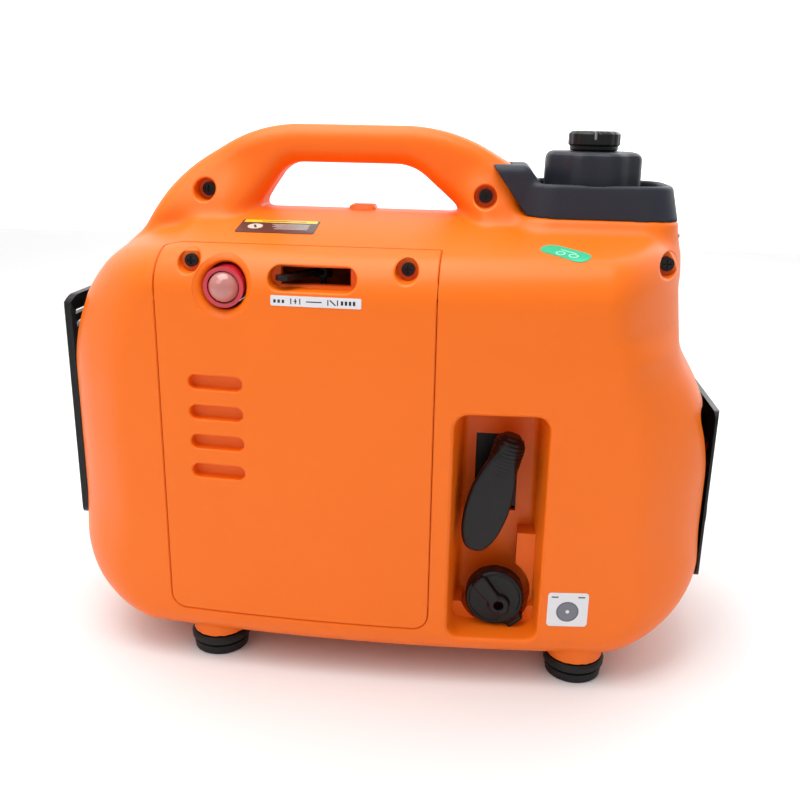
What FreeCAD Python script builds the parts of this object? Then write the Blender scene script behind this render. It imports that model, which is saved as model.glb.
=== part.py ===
import FreeCAD, Part
import math
import os

# Portable suitcase generator, in millimetres.
# +X points to the control panel end, -Y to the side with the service door and the starter,
# +Z up.  The origin is on the ground plane, in the middle of the case's length and width.

V = FreeCAD.Vector

# ---- driving sizes of the case ----
LENGTH = 450.0            # case, end to end
WIDTH = 234.0             # case, across the fullest part of both sides
BELLY_FLOOR = 20.0        # underside of the case above the ground
DECK_Z = 300.0            # top of the deck, along the middle of the case
HANDLE_TOP = 356.0        # highest line of the carrying handle
WALL = 3.0                # moulded wall of the case
EDGE_ROUND = 24.0         # roundover between a side and the deck, ends and floor
SIDE_RADIUS = 1300.0      # plan radius of each slightly bulged side
END_RADIUS = 250.0        # plan radius of each crowned end
DECK_SLOPE = 12.0         # degrees, deck falling away to each side
DECK_FLAT_RISE = 2.0      # height of the ridge cut off to leave the flat of the deck
LOW_END_ROUND = 60.0      # end view from the side: corner at the floor
TAPER_START = 129.0       # below the deck, where the panel end starts to lean in
TAPER_KNEE = 75.0         # below the deck, where it steepens again
TAPER_KNEE_IN = 28.5
TAPER_TOP_IN = 40.0       # how far the panel end has leant in at the deck
EXHAUST_SHOULDER_R = 104.0
FIT_GAP = 0.4             # gap round a loose panel or a moving piece
RUN_GAP = 0.05            # radial clearance of a turning shaft
SCREW_GAP = 0.1           # radial clearance of a fixed screw

# ---- carrying handle ----
HANDLE_HALF = 17.0        # half thickness of the bar, across the case
GRIP_LEFT_X = -98.0       # hand opening, low left and right corners
GRIP_RIGHT_X = 46.0
GRIP_HEIGHT = 31.0        # hand opening, above the deck
HANDLE_FOOT_HALF = 33.0   # half width of the flared feet of the handle
HANDLE_START_X = -192.0   # the handle's side view, from its long rear foot
HANDLE_BEND_X = (-150.0, -95.0, 35.0)
HANDLE_END_X = 84.0
HANDLE_EDGE_ROUND = 8.0
HANDLE_SCREW_HOLE_R = 7.5
SHELL_SCREW_R = 2.5
SHELL_SCREW_HEAD_R = 4.5
SHELL_SCREW_END_Y = 11.0
TOWER_R = 10.0
TOWER_END_Y = 14.0
HANDLE_SCREW_XZ = ((-130.0, 312.0), (60.0, 312.0))
END_SCREW_XZ = (176.0, 276.0)
END_SCREW_SEAT_Y = -50.0
HANDLE_SCREW_SEAT_Y = -14.0

# ---- service door ----
DOOR_LEFT_X = -138.0
DOOR_RIGHT_X = 36.0
DOOR_FLOOR_Z = 41.0
DOOR_TOP_Y = -84.0        # the door's top edge runs along the deck here
DOOR_SCREW_XZ = ((-117.0, 275.0), (17.0, 274.0))
DOOR_SCREW_R = 2.5
DOOR_SCREW_WELL_R = 7.0
DOOR_SCREW_WELL_DEPTH = 12.0
VENT_X = -101.0
VENT_Z = 201.0            # highest slot
VENT_PITCH = 19.7
VENT_COUNT = 4
VENT_LENGTH = 35.0
VENT_HEIGHT = 9.2

# ---- choke and primer ----
CHOKE_X = -39.0
CHOKE_Z = 268.0
CHOKE_PIVOT_Y = -77.0
CHOKE_TURN = 60.0         # degrees between RUN and START
CHOKE_ARM = 40.0          # pivot to the tip of the lever
CHOKE_SLOT_LENGTH = 43.0
CHOKE_SLOT_HEIGHT = 11.0
CHOKE_POCKET_HALF = 7.2   # half height of the pocket round the slot
CHOKE_POCKET_END = 5.5    # how far the pocket reaches past each end of the slot
PRIMER_X = -94.0
PRIMER_Z = 261.0
PRIMER_BULB_R = 9.5
PRIMER_DISH_R = 24.0

# ---- starter recess, grip and rope ----
RECESS_LEFT_X = 49.0
RECESS_RIGHT_X = 107.0
RECESS_TOP_Z = 189.0
RECESS_BACK_Y = -72.0
ROPE_X = 73.5
ROPE_Z = 132.0
ROPE_R = 2.0
STARTER_GRIP_LENGTH = 78.0
STARTER_GRIP_WIDTH = 28.0
STARTER_GRIP_DEPTH = 20.0
STARTER_GRIP_TILT = 15.0  # degrees, top towards +X
STARTER_GRIP_BACK_Y = -84.0

# ---- fuel cock ----
COCK_X = 79.0
COCK_Z = 58.0
COCK_KNOB_R = 19.5
COCK_KNOB_FRONT_Y = -104.0
COCK_KNOB_DEPTH = 15.0
COCK_STEM_R = 4.0
COCK_KNOB_ROOM = 3.0      # from the knob down to the floor of the recess
RECESS_FLOOR_Z = COCK_Z - COCK_KNOB_R - COCK_KNOB_ROOM

# ---- fuel filler ----
FILLER_X = 130.0
NECK_R = 24.0
NECK_TOP_Z = 318.0
CAP_R = 34.0
CAP_TOP_Z = 342.0
CAP_FLATS = 8
CAP_CORNER_R = 12.0
VENT_STEM_R = 5.0
VENT_KNOB_R = 17.0
VENT_KNOB_TOP_Z = 355.0
COLLAR_LEFT_X = 78.0
COLLAR_RIGHT_X = 187.0
COLLAR_HALF_WIDTH = 43.0
COLLAR_TOP_Z = 322.0

# ---- engine ----
CRANK_Z = 95.0
ENGINE_X = -60.0          # cylinder axis
CASE_LENGTH = 90.0
CASE_HALF_WIDTH = 46.0
CASE_TOP_Z = 138.0
CASE_FLOOR_Z = 50.0
CASE_WALL = 4.0
SHAFT_R = 8.5
BEARING_R = 20.0
BORE_R = 20.2
PISTON_GAP = 0.1          # radial clearance of the piston in its bore
PISTON_R = BORE_R - PISTON_GAP
BARREL_TOP_Z = 195.0
HEAD_TOP_Z = 222.0
ROTOR_R = 56.0
FAN_R = 54.0
PULLEY_R = 37.0           # radius at the middle of the rope
STUD_R = 6.0

# ---- feet ----
FOOT_R = 20.0
FOOT_HEIGHT = 14.0
FOOT_SCREW_R = 3.0
FOOT_SCREW_HEAD_R = 6.0
FOOT_X = (-113.0, 135.0)
FOOT_Y = (-84.0, 84.0)

# ---- control panel and exhaust louvre ----
PANEL_HALF_WIDTH = 68.0
PANEL_FLOOR_Z = 66.0
PANEL_TOP_Z = 184.0
PANEL_DEPTH = 11.0        # from the crown of the end to the back of the panel
PANEL_SHEET = 3.0
ZONE_CORNER_R = 8.0
LOUVRE_HALF_WIDTH = 68.0
LOUVRE_FLOOR_Z = 84.0
LOUVRE_TOP_Z = 244.0
LOUVRE_ZONE_END_X = -150.0
LOUVRE_SLIT_HALF = 54.0
LOUVRE_SLIT_HEIGHT = 3.5
LOUVRE_PITCH = 9.0
TAILPIPE_Z = 128.0
TAILPIPE_R = 11.0

HALF_LENGTH = LENGTH / 2
HALF_WIDTH = WIDTH / 2


# ---- small shape tools ----

def box(x, y, z):
    """a block from three (low, high) pairs"""
    return Part.makeBox(x[1] - x[0], y[1] - y[0], z[1] - z[0], V(x[0], y[0], z[0]))


def rod(start, end, radius):
    """a round bar between two points"""
    start, end = V(*start), V(*end)
    return Part.makeCylinder(radius, (end - start).Length, start, end - start)


def tube(start, end, outer, inner):
    return rod(start, end, outer).cut(rod(start, end, inner))


def fuse(shapes):
    shapes = list(shapes)
    return shapes[0].fuse(shapes[1:]).removeSplitter()


def rounded_wire(corners, place):
    """a closed wire through (u, v, radius) corners; place(u, v) gives the 3-D point"""
    count = len(corners)
    rounds = []
    for i, (u, v, radius) in enumerate(corners):
        corner = place(u, v)
        to_last = (place(*corners[i - 1][:2]) - corner).normalize()
        to_next = (place(*corners[(i + 1) % count][:2]) - corner).normalize()
        half = to_last.getAngle(to_next) / 2
        run = radius / math.tan(half)
        middle = corner + (to_last + to_next).normalize() * (radius / math.sin(half) - radius)
        rounds.append((corner + to_last * run, middle, corner + to_next * run))
    edges = []
    for i, (start, middle, end) in enumerate(rounds):
        if (start - end).Length > 1e-6:
            edges.append(Part.Arc(start, middle, end).toShape())
        following = rounds[(i + 1) % count][0]
        if (following - end).Length > 1e-6:
            edges.append(Part.LineSegment(end, following).toShape())
    return Part.Wire(edges)


def slab_y(corners, y_low, y_high):
    """a prism along Y from (x, z, radius) corners"""
    wire = rounded_wire(corners, lambda u, v: V(u, y_low, v))
    return Part.Face(wire).extrude(V(0, y_high - y_low, 0))


def slab_x(corners, x_low, x_high):
    """a prism along X from (y, z, radius) corners"""
    wire = rounded_wire(corners, lambda u, v: V(x_low, u, v))
    return Part.Face(wire).extrude(V(x_high - x_low, 0, 0))


def slab_z(corners, z_low, z_high):
    """a prism along Z from (x, y, radius) corners"""
    wire = rounded_wire(corners, lambda u, v: V(u, v, z_low))
    return Part.Face(wire).extrude(V(0, 0, z_high - z_low))


def rectangle(low_u, high_u, low_v, high_v, radius):
    return [(low_u, low_v, radius), (high_u, low_v, radius),
            (high_u, high_v, radius), (low_u, high_v, radius)]


def turned(shape, centre, axis, degrees):
    result = shape.copy()
    result.rotate(V(*centre), V(*axis), degrees)
    return result


def round_edges(shape, radius, chosen):
    """fillets the edges that chosen(edge) picks"""
    return shape.makeFillet(radius, [edge for edge in shape.Edges if chosen(edge)])


def save(name, shape):
    if not shape.isValid() or not shape.Solids:
        raise RuntimeError(name + " is not a sound solid")
    shape.exportStep("parts/" + name + ".step")


# ---- the case ----

def deck_height(y):
    """height of the outer deck surface, away from its roundover"""
    peak = DECK_Z + DECK_FLAT_RISE
    return min(DECK_Z, peak - abs(y) * math.tan(math.radians(DECK_SLOPE)))


def crowned_plan(inset):
    """a tall block whose two ends are arcs in plan; its sides stand clear of the case"""
    half = HALF_WIDTH + 5
    radius = END_RADIUS - inset
    tip = HALF_LENGTH - inset
    corner = tip - radius + math.sqrt(radius ** 2 - half ** 2)
    right = Part.Arc(V(corner, -half, 0), V(tip, 0, 0), V(corner, half, 0)).toShape()
    left = Part.Arc(V(-corner, half, 0), V(-tip, 0, 0), V(-corner, -half, 0)).toShape()
    back = Part.makeLine(V(corner, half, 0), V(-corner, half, 0))
    front = Part.makeLine(V(-corner, -half, 0), V(corner, -half, 0))
    return Part.Face(Part.Wire([right, back, left, front])).extrude(V(0, 0, 2 * DECK_Z))


def belly(inset):
    """the closed body of the case, without handle and feet, moved inwards by inset"""
    outline = [(-HALF_LENGTH, BELLY_FLOOR, LOW_END_ROUND),
               (HALF_LENGTH, BELLY_FLOOR, LOW_END_ROUND),
               (HALF_LENGTH, DECK_Z - TAPER_START, 110.0),
               (HALF_LENGTH - TAPER_KNEE_IN, DECK_Z - TAPER_KNEE, 60.0),
               (HALF_LENGTH - TAPER_TOP_IN, DECK_Z, EDGE_ROUND),
               (-HALF_LENGTH, DECK_Z, EXHAUST_SHOULDER_R)]
    wire = rounded_wire(outline, lambda u, v: V(u, -WIDTH, v))
    if inset:
        wire = wire.makeOffset2D(-inset)
    solid = Part.Face(wire).extrude(V(0, 2 * WIDTH, 0))
    for side in (-1, 1):
        centre = V(0, -side * (SIDE_RADIUS - HALF_WIDTH), -WIDTH)
        solid = solid.common(Part.makeCylinder(SIDE_RADIUS - inset, 4 * WIDTH, centre))
    side_edges = []
    for face in solid.Faces:
        if isinstance(face.Surface, Part.Cylinder) and face.Surface.Radius > SIDE_RADIUS / 2:
            side_edges += face.Edges
    solid = solid.makeFillet(EDGE_ROUND - inset, side_edges)
    flat = DECK_FLAT_RISE / math.tan(math.radians(DECK_SLOPE))
    side = HALF_WIDTH - inset
    shoulder = deck_height(side) - inset
    section = [(-side, 0, 0), (side, 0, 0),
               (side, shoulder, EDGE_ROUND - inset), (flat, DECK_Z - inset, 0),
               (-flat, DECK_Z - inset, 0), (-side, shoulder, EDGE_ROUND - inset)]
    return solid.common(slab_x(section, -LENGTH, LENGTH)).common(crowned_plan(inset))


def handle_profile():
    """side view of the handle and its feet, as a flat face at Y = 0"""
    rear_bend, rear_top, front_top = HANDLE_BEND_X
    outer = rounded_wire([(HANDLE_START_X, DECK_Z - 62, 0), (HANDLE_END_X, DECK_Z - 20, 0),
                          (HANDLE_END_X, HANDLE_TOP - 28, 0),
                          (front_top, HANDLE_TOP, 120.0), (rear_top, HANDLE_TOP, 100.0),
                          (rear_bend, HANDLE_TOP - 32, 90.0), (HANDLE_START_X, DECK_Z - 42, 0)],
                         lambda u, v: V(u, 0, v))
    opening = rounded_wire([(GRIP_LEFT_X, DECK_Z, 12.0), (GRIP_RIGHT_X, DECK_Z, 12.0),
                            (GRIP_RIGHT_X - 36, DECK_Z + GRIP_HEIGHT, 30.0),
                            (GRIP_LEFT_X + 22, DECK_Z + GRIP_HEIGHT, 20.0)],
                           lambda u, v: V(u, 0, v))
    return Part.Face(outer).cut(Part.Face(opening))


def both_ways(face, half):
    solid = face.extrude(V(0, 2 * half, 0))
    solid.translate(V(0, -half, 0))
    return solid


def handle_body():
    """the solid arch of the handle with its flared feet"""
    bar = both_ways(handle_profile(), HANDLE_HALF)
    bar = round_edges(bar, HANDLE_EDGE_ROUND, lambda e: abs(abs(e.BoundBox.YMin) - HANDLE_HALF) < 0.01
                      and abs(e.BoundBox.YMax - e.BoundBox.YMin) < 0.01
                      and e.BoundBox.ZMax > DECK_Z + 1)
    wide = both_ways(handle_profile(), 2 * HANDLE_FOOT_HALF)
    feet = []
    for low_x, high_x in ((HANDLE_START_X + 10, GRIP_LEFT_X + 22), (GRIP_RIGHT_X - 8, HANDLE_END_X)):
        wires = []
        for half, z in ((HANDLE_FOOT_HALF, DECK_Z - 18), (HANDLE_HALF + 1, HANDLE_TOP - 16)):
            corners = rectangle(low_x, high_x, -half, half, 6.0)
            wires.append(rounded_wire(corners, lambda u, v: V(u, v, z)))
        feet.append(Part.makeLoft(wires, True, True).common(wide))
    return fuse([bar] + feet)


def screw_towers():
    """(x, z, y of the screw head's seat) for each screw that joins the two case halves"""
    towers = [(x, z, HANDLE_SCREW_SEAT_Y) for x, z in HANDLE_SCREW_XZ]
    return towers + [(END_SCREW_XZ[0], END_SCREW_XZ[1], END_SCREW_SEAT_Y)]


def whole_case():
    """both halves of the case as one hollow moulding, with its screw towers and foot bosses"""
    outer = belly(0)
    inner = belly(WALL)
    handle = handle_body()
    grip_top = DECK_Z + GRIP_HEIGHT
    core = slab_y([(GRIP_LEFT_X + 20, grip_top + 4, 2.0), (GRIP_RIGHT_X - 36, grip_top + 4, 2.0),
                   (GRIP_RIGHT_X - 42, HANDLE_TOP - 6, 2.0), (GRIP_LEFT_X + 40, HANDLE_TOP - 6, 2.0)],
                  WALL - HANDLE_HALF, HANDLE_HALF - WALL)
    closed = outer.fuse(handle)
    towers = []
    for x, z, seat in screw_towers():
        tower = rod((x, -HALF_WIDTH, z), (x, TOWER_END_Y, z), TOWER_R)
        towers.append(tower.common(closed))
    bosses = [rod((x, y, FOOT_HEIGHT), (x, y, BELLY_FLOOR + 2), FOOT_R - 1)
              for x in FOOT_X for y in FOOT_Y]
    case = closed.cut([inner, core])
    case = fuse([case] + towers + bosses)
    drills = [rod((FILLER_X, 0, DECK_Z - 20), (FILLER_X, 0, DECK_Z + 20), NECK_R + FIT_GAP)]
    for x, z, seat in screw_towers():
        drills.append(rod((x, -WIDTH, z), (x, seat, z), HANDLE_SCREW_HOLE_R))
        drills.append(rod((x, seat - 1, z), (x, SHELL_SCREW_END_Y + 1, z), SHELL_SCREW_R + SCREW_GAP))
    for x in FOOT_X:
        for y in FOOT_Y:
            drills.append(rod((x, y, 0), (x, y, BELLY_FLOOR + 5), FOOT_SCREW_R + SCREW_GAP))
    return case.cut(drills)


def panel_zone(gap):
    low, high = -PANEL_HALF_WIDTH + gap, PANEL_HALF_WIDTH - gap
    return slab_x(rectangle(low, high, PANEL_FLOOR_Z + gap, PANEL_TOP_Z - gap, ZONE_CORNER_R),
                  HALF_LENGTH - PANEL_DEPTH, HALF_LENGTH + 20)


def louvre_zone(gap):
    low, high = -LOUVRE_HALF_WIDTH + gap, LOUVRE_HALF_WIDTH - gap
    return slab_x(rectangle(low, high, LOUVRE_FLOOR_Z + gap, LOUVRE_TOP_Z - gap, ZONE_CORNER_R),
                  -HALF_LENGTH - 20, LOUVRE_ZONE_END_X)


def door_zone(gap):
    corners = [(DOOR_LEFT_X + gap, DOOR_FLOOR_Z + gap, 10.0),
               (DOOR_RIGHT_X - gap, DOOR_FLOOR_Z + gap, 10.0),
               (DOOR_RIGHT_X - gap, DECK_Z + 40, 0), (DOOR_LEFT_X + gap, DECK_Z + 40, 0)]
    return slab_y(corners, -WIDTH, DOOR_TOP_Y - gap)


def vent_slots(x, y_low, y_high):
    """a column of round-ended slots, from y_low to y_high"""
    slots = []
    for i in range(VENT_COUNT):
        z = VENT_Z - i * VENT_PITCH
        corners = rectangle(x - VENT_LENGTH / 2, x + VENT_LENGTH / 2,
                            z - VENT_HEIGHT / 2, z + VENT_HEIGHT / 2, VENT_HEIGHT / 2 - 0.01)
        slots.append(slab_y(corners, y_low, y_high))
    return slots


def vent_backs(x, y_low, y_high):
    """the shallow trays that close the slots, each with a narrow air gap at its top"""
    backs = []
    for i in range(VENT_COUNT):
        z = VENT_Z - i * VENT_PITCH
        tray = box((x - VENT_LENGTH / 2 - 2, x + VENT_LENGTH / 2 + 2), (y_low, y_high),
                   (z - VENT_HEIGHT / 2 - 2, z + VENT_HEIGHT / 2 + 2))
        gap = box((x - VENT_LENGTH / 2 + 4, x + VENT_LENGTH / 2 - 4), (y_low - 1, y_high + 1),
                  (z + VENT_HEIGHT / 2 - 2, z + VENT_HEIGHT / 2))
        backs.append(tray.cut(gap))
    return backs


def recess_block(grow):
    """the drafted pocket of the starter; grow is the thickness of its walls"""
    wires = []
    for y, draft in ((-WIDTH, 0.0), (-HALF_WIDTH, 0.0), (RECESS_BACK_Y + grow, 5.0)):
        corners = rectangle(RECESS_LEFT_X + draft - grow, RECESS_RIGHT_X - draft - grow + 2 * grow,
                            RECESS_FLOOR_Z - grow, RECESS_TOP_Z - draft + grow, 8.0)
        wires.append(rounded_wire(corners, lambda u, v: V(u, y, v)))
    mouth = Part.makeLoft(wires[:2], True, True)
    return mouth.fuse(Part.makeLoft(wires[1:], True, True))


def door_posts():
    """screw posts that hang from the deck behind the door's two screws"""
    posts = [rod((x, DOOR_TOP_Y + 4, z), (x, DOOR_TOP_Y + 18, z), 7.0)
             for x, z in DOOR_SCREW_XZ]
    webs = [box((x - 5, x + 5), (DOOR_TOP_Y + 4, DOOR_TOP_Y + 18), (z, DECK_Z))
            for x, z in DOOR_SCREW_XZ]
    drills = [rod((x, -WIDTH, z), (x, DOOR_TOP_Y + 16, z), DOOR_SCREW_R + FIT_GAP)
              for x, z in DOOR_SCREW_XZ]
    return fuse(posts + webs).common(belly(WALL)).cut(drills)


def make_case():
    case = whole_case()
    outer = belly(0)
    near_half = box((-LENGTH, LENGTH), (-WIDTH, 0), (0, 2 * DECK_Z))
    far_half = box((-LENGTH, LENGTH), (0, WIDTH), (0, 2 * DECK_Z))
    open_case = case.cut([panel_zone(0), louvre_zone(0)])

    far_vents = vent_slots(VENT_X, HALF_WIDTH - 20, WIDTH) + vent_slots(-VENT_X, HALF_WIDTH - 20, WIDTH)
    far_backs = vent_backs(VENT_X, HALF_WIDTH - 12, HALF_WIDTH - 9)
    far_backs += vent_backs(-VENT_X, HALF_WIDTH - 12, HALF_WIDTH - 9)
    sleeves = []
    for x in (VENT_X, -VENT_X):
        frame = box((x - VENT_LENGTH / 2 - 2, x + VENT_LENGTH / 2 + 2),
                    (HALF_WIDTH - 12, HALF_WIDTH),
                    (VENT_Z - (VENT_COUNT - 1) * VENT_PITCH - VENT_HEIGHT / 2 - 2,
                     VENT_Z + VENT_HEIGHT / 2 + 2))
        sleeves.append(frame.common(outer))
    far = fuse([open_case.common(far_half)] + sleeves).cut(far_vents)
    far = fuse([far] + far_backs)
    save("far_shell", far)

    near = open_case.common(near_half).cut(door_zone(0))
    near = fuse([near, recess_block(WALL).common(outer), door_posts()])
    rope_window = box((ROPE_X - 9.5, ROPE_X + 18.5), (RECESS_BACK_Y - 1, RECESS_BACK_Y + 4),
                      (ROPE_Z - 16, ROPE_Z + 34))
    stem_hole = rod((COCK_X, RECESS_BACK_Y - 1, COCK_Z), (COCK_X, RECESS_BACK_Y + 4, COCK_Z),
                    COCK_STEM_R + RUN_GAP)
    near = near.cut([recess_block(0), rope_window, stem_hole])
    save("near_shell", near)
    return case


def screw(x, z, seat, length, head_r, head_height, shank_r):
    """a screw along Y with a crossed head that faces -Y"""
    head = rod((x, seat - head_height, z), (x, seat, z), head_r)
    slots = [box((x - head_r * 0.6, x + head_r * 0.6), (seat - head_height, seat - head_height + 1.2),
                 (z - 0.5, z + 0.5)),
             box((x - 0.5, x + 0.5), (seat - head_height, seat - head_height + 1.2),
                 (z - head_r * 0.6, z + head_r * 0.6))]
    return head.fuse(rod((x, seat, z), (x, seat + length, z), shank_r)).cut(slots)


def make_shell_screws():
    screws = [screw(x, z, seat, SHELL_SCREW_END_Y - seat, SHELL_SCREW_HEAD_R, 3.5, SHELL_SCREW_R)
              for x, z, seat in screw_towers()]
    save("shell_screws", Part.makeCompound(screws))


# ---- service door ----

def choke_pocket(inset, y_low, y_high):
    half = CHOKE_SLOT_LENGTH / 2
    reach = half + CHOKE_POCKET_END - inset
    rise = CHOKE_POCKET_HALF - inset
    corners = rectangle(CHOKE_X - reach, CHOKE_X + reach, CHOKE_Z - rise, CHOKE_Z + rise, rise - 0.01)
    return slab_y(corners, y_low, y_high)


def make_door(case):
    outer = belly(0)
    backing = [choke_pocket(-2.5, -HALF_WIDTH, -96),
               rod((PRIMER_X, -HALF_WIDTH, PRIMER_Z), (PRIMER_X, -104, PRIMER_Z), 19.0),
               box((VENT_X - 20, VENT_X + 20), (-HALF_WIDTH, -106),
                   (VENT_Z - (VENT_COUNT - 1) * VENT_PITCH - 7, VENT_Z + 7))]
    for x, z in DOOR_SCREW_XZ:
        backing.append(rod((x, -HALF_WIDTH, z), (x, DOOR_TOP_Y - 1, z), DOOR_SCREW_WELL_R + 1.5))
    panel = fuse([case.common(door_zone(FIT_GAP))] + [b.common(outer) for b in backing])
    panel = panel.common(door_zone(FIT_GAP))
    half = CHOKE_SLOT_LENGTH / 2
    cuts = [choke_pocket(0, -WIDTH, -100),
            box((CHOKE_X - half, CHOKE_X + half), (-WIDTH, 0),
                (CHOKE_Z - CHOKE_SLOT_HEIGHT / 2, CHOKE_Z + CHOKE_SLOT_HEIGHT / 2)),
            rod((PRIMER_X, -WIDTH, PRIMER_Z), (PRIMER_X, 0, PRIMER_Z), PRIMER_BULB_R + 4),
            Part.makeCone(PRIMER_DISH_R, PRIMER_BULB_R + 4, 12,
                          V(PRIMER_X, -HALF_WIDTH - 3.5, PRIMER_Z), V(0, 1, 0))]
    cuts += vent_slots(VENT_X, -WIDTH, -109)
    for i in range(VENT_COUNT):
        z = VENT_Z - i * VENT_PITCH + VENT_HEIGHT / 2 - 2
        cuts.append(box((VENT_X - 13, VENT_X + 13), (-WIDTH, 0), (z, z + 2)))
    for x, z in DOOR_SCREW_XZ:
        cuts.append(rod((x, -WIDTH, z), (x, DOOR_TOP_Y - DOOR_SCREW_WELL_DEPTH, z), DOOR_SCREW_WELL_R))
        cuts.append(rod((x, -WIDTH, z), (x, 0, z), DOOR_SCREW_R + SCREW_GAP))
    save("service_door", panel.cut(cuts))
    seat = DOOR_TOP_Y - DOOR_SCREW_WELL_DEPTH
    screws = [screw(x, z, seat, 26, 4.0, 3.0, DOOR_SCREW_R) for x, z in DOOR_SCREW_XZ]
    save("door_screws", Part.makeCompound(screws))


# ---- labels, thin plates that follow the case ----

LABEL_THICKNESS = 0.4

def make_labels():
    skin = belly(-LABEL_THICKNESS).cut(belly(0))
    strip = slab_y(rectangle(CHOKE_X - 29, CHOKE_X + 29, 250, 256, 1.0), -WIDTH, -60)
    save("choke_label", skin.common(strip))
    cock = slab_y(rectangle(113, 139, 48, 72, 3.0), -WIDTH, -60)
    warning = slab_z(rectangle(-100, -48, -63, -37, 2.0), DECK_Z - 40, DECK_Z + 10)
    sticker = slab_z(rectangle(92, 118, -74, -60, 6.9), DECK_Z - 40, DECK_Z + 10)
    plates = [skin.common(zone) for zone in (cock, warning, sticker)]
    save("case_labels", Part.makeCompound(plates))


# ---- control panel end ----

PANEL_BACK_X = HALF_LENGTH - PANEL_DEPTH
PANEL_FACE_X = PANEL_BACK_X + PANEL_SHEET
PANEL_CUT_X = 200.0       # behind the panel; its holes start here
AC_SOCKET_R = 20.0
AC_WELL_R = 17.0
DC_SOCKET_R = 10.0
DC_WELL_R = 7.5
BREAKER_R = 6.0
SWITCH_STEM_R = 4.0
SWITCH_R = 13.0
LAMP_R = 3.0
SOCKET_YZ = (-30.0, 108.0)
DC_YZ = (28.0, 92.0)
BREAKER_YZ = (28.0, 126.0)
EARTH_YZ = (52.0, 84.0)
ENGINE_SWITCH_YZ = (36.0, 157.0)
ECO_YZ = (2.0, 157.0)
LAMP_Y = (-54.0, -42.0, -30.0)
LAMP_Z = 157.0
ECO_TILT = 8.0


def along_x(yz, x_low, x_high, radius):
    return rod((x_low, yz[0], yz[1]), (x_high, yz[0], yz[1]), radius)


def make_control_panel():
    tray = panel_zone(0.2).common(belly(0))
    inside = slab_x(rectangle(-PANEL_HALF_WIDTH + 5, PANEL_HALF_WIDTH - 5,
                              PANEL_FLOOR_Z + 5, PANEL_TOP_Z - 5, 5.0),
                    PANEL_FACE_X, HALF_LENGTH + 20)
    y, z = ECO_YZ
    eco_hole = box((PANEL_CUT_X, HALF_LENGTH), (y - 5.2, y + 5.2), (z - 11.6, z + 11.6))
    holes = [inside, eco_hole,
             along_x(SOCKET_YZ, PANEL_CUT_X, HALF_LENGTH, AC_SOCKET_R),
             along_x(DC_YZ, PANEL_CUT_X, HALF_LENGTH, DC_SOCKET_R),
             along_x(BREAKER_YZ, PANEL_CUT_X, HALF_LENGTH, BREAKER_R + FIT_GAP),
             along_x(ENGINE_SWITCH_YZ, PANEL_CUT_X, HALF_LENGTH, SWITCH_STEM_R + RUN_GAP)]
    holes += [along_x((lamp_y, LAMP_Z), PANEL_CUT_X, HALF_LENGTH, LAMP_R) for lamp_y in LAMP_Y]
    save("control_panel", tray.cut(holes))


def make_sockets():
    body = along_x(SOCKET_YZ, 190, PANEL_FACE_X, AC_SOCKET_R)
    body = body.fuse(along_x(SOCKET_YZ, PANEL_FACE_X, PANEL_FACE_X + 2.5, AC_SOCKET_R + 4))
    body = body.cut(along_x(SOCKET_YZ, 203, HALF_LENGTH, AC_WELL_R))
    pins = [along_x((SOCKET_YZ[0] + side * 9.5, SOCKET_YZ[1]), 193, 204, 2.6) for side in (-1, 1)]
    save("ac_socket", body.cut(pins))
    body = along_x(DC_YZ, 196, PANEL_FACE_X, DC_SOCKET_R)
    body = body.fuse(along_x(DC_YZ, PANEL_FACE_X, PANEL_FACE_X + 2, DC_SOCKET_R + 3))
    save("dc_socket", body.cut(along_x(DC_YZ, PANEL_CUT_X, HALF_LENGTH, DC_WELL_R)))
    stud = along_x(EARTH_YZ, PANEL_FACE_X, HALF_LENGTH, 3.0)
    hexagon = [(EARTH_YZ[0] + 6 * math.cos(math.radians(60 * i)),
                EARTH_YZ[1] + 6 * math.sin(math.radians(60 * i)), 0) for i in range(6)]
    save("earth_terminal", stud.fuse(slab_x(hexagon, PANEL_FACE_X + 1, PANEL_FACE_X + 5)))


def make_panel_controls():
    button = along_x(BREAKER_YZ, PANEL_BACK_X - 4, PANEL_FACE_X + 4, BREAKER_R)
    save("breaker_button", button)
    y, z = ENGINE_SWITCH_YZ
    knob = along_x(ENGINE_SWITCH_YZ, PANEL_FACE_X + FIT_GAP, PANEL_FACE_X + 3, SWITCH_R)
    ridge = box((PANEL_FACE_X + 3, PANEL_FACE_X + 8), (y - 3, y + 3), (z - SWITCH_R + 1, z + SWITCH_R - 1))
    stem = along_x(ENGINE_SWITCH_YZ, PANEL_BACK_X - 4, PANEL_FACE_X + 1, SWITCH_STEM_R)
    save("engine_switch", fuse([knob, ridge, stem]))
    y, z = ECO_YZ
    rocker = box((PANEL_BACK_X - 2, PANEL_FACE_X + 3), (y - 4.8, y + 4.8), (z - 10.0, z + 10.0))
    rocker = turned(rocker, (PANEL_BACK_X, y, z), (0, 1, 0), -ECO_TILT)
    save("eco_switch", rocker)
    lamps = [along_x((lamp_y, LAMP_Z), PANEL_BACK_X, PANEL_FACE_X + 1.5, LAMP_R) for lamp_y in LAMP_Y]
    save("indicator_lamps", Part.makeCompound(lamps))


# ---- exhaust end ----

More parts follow.
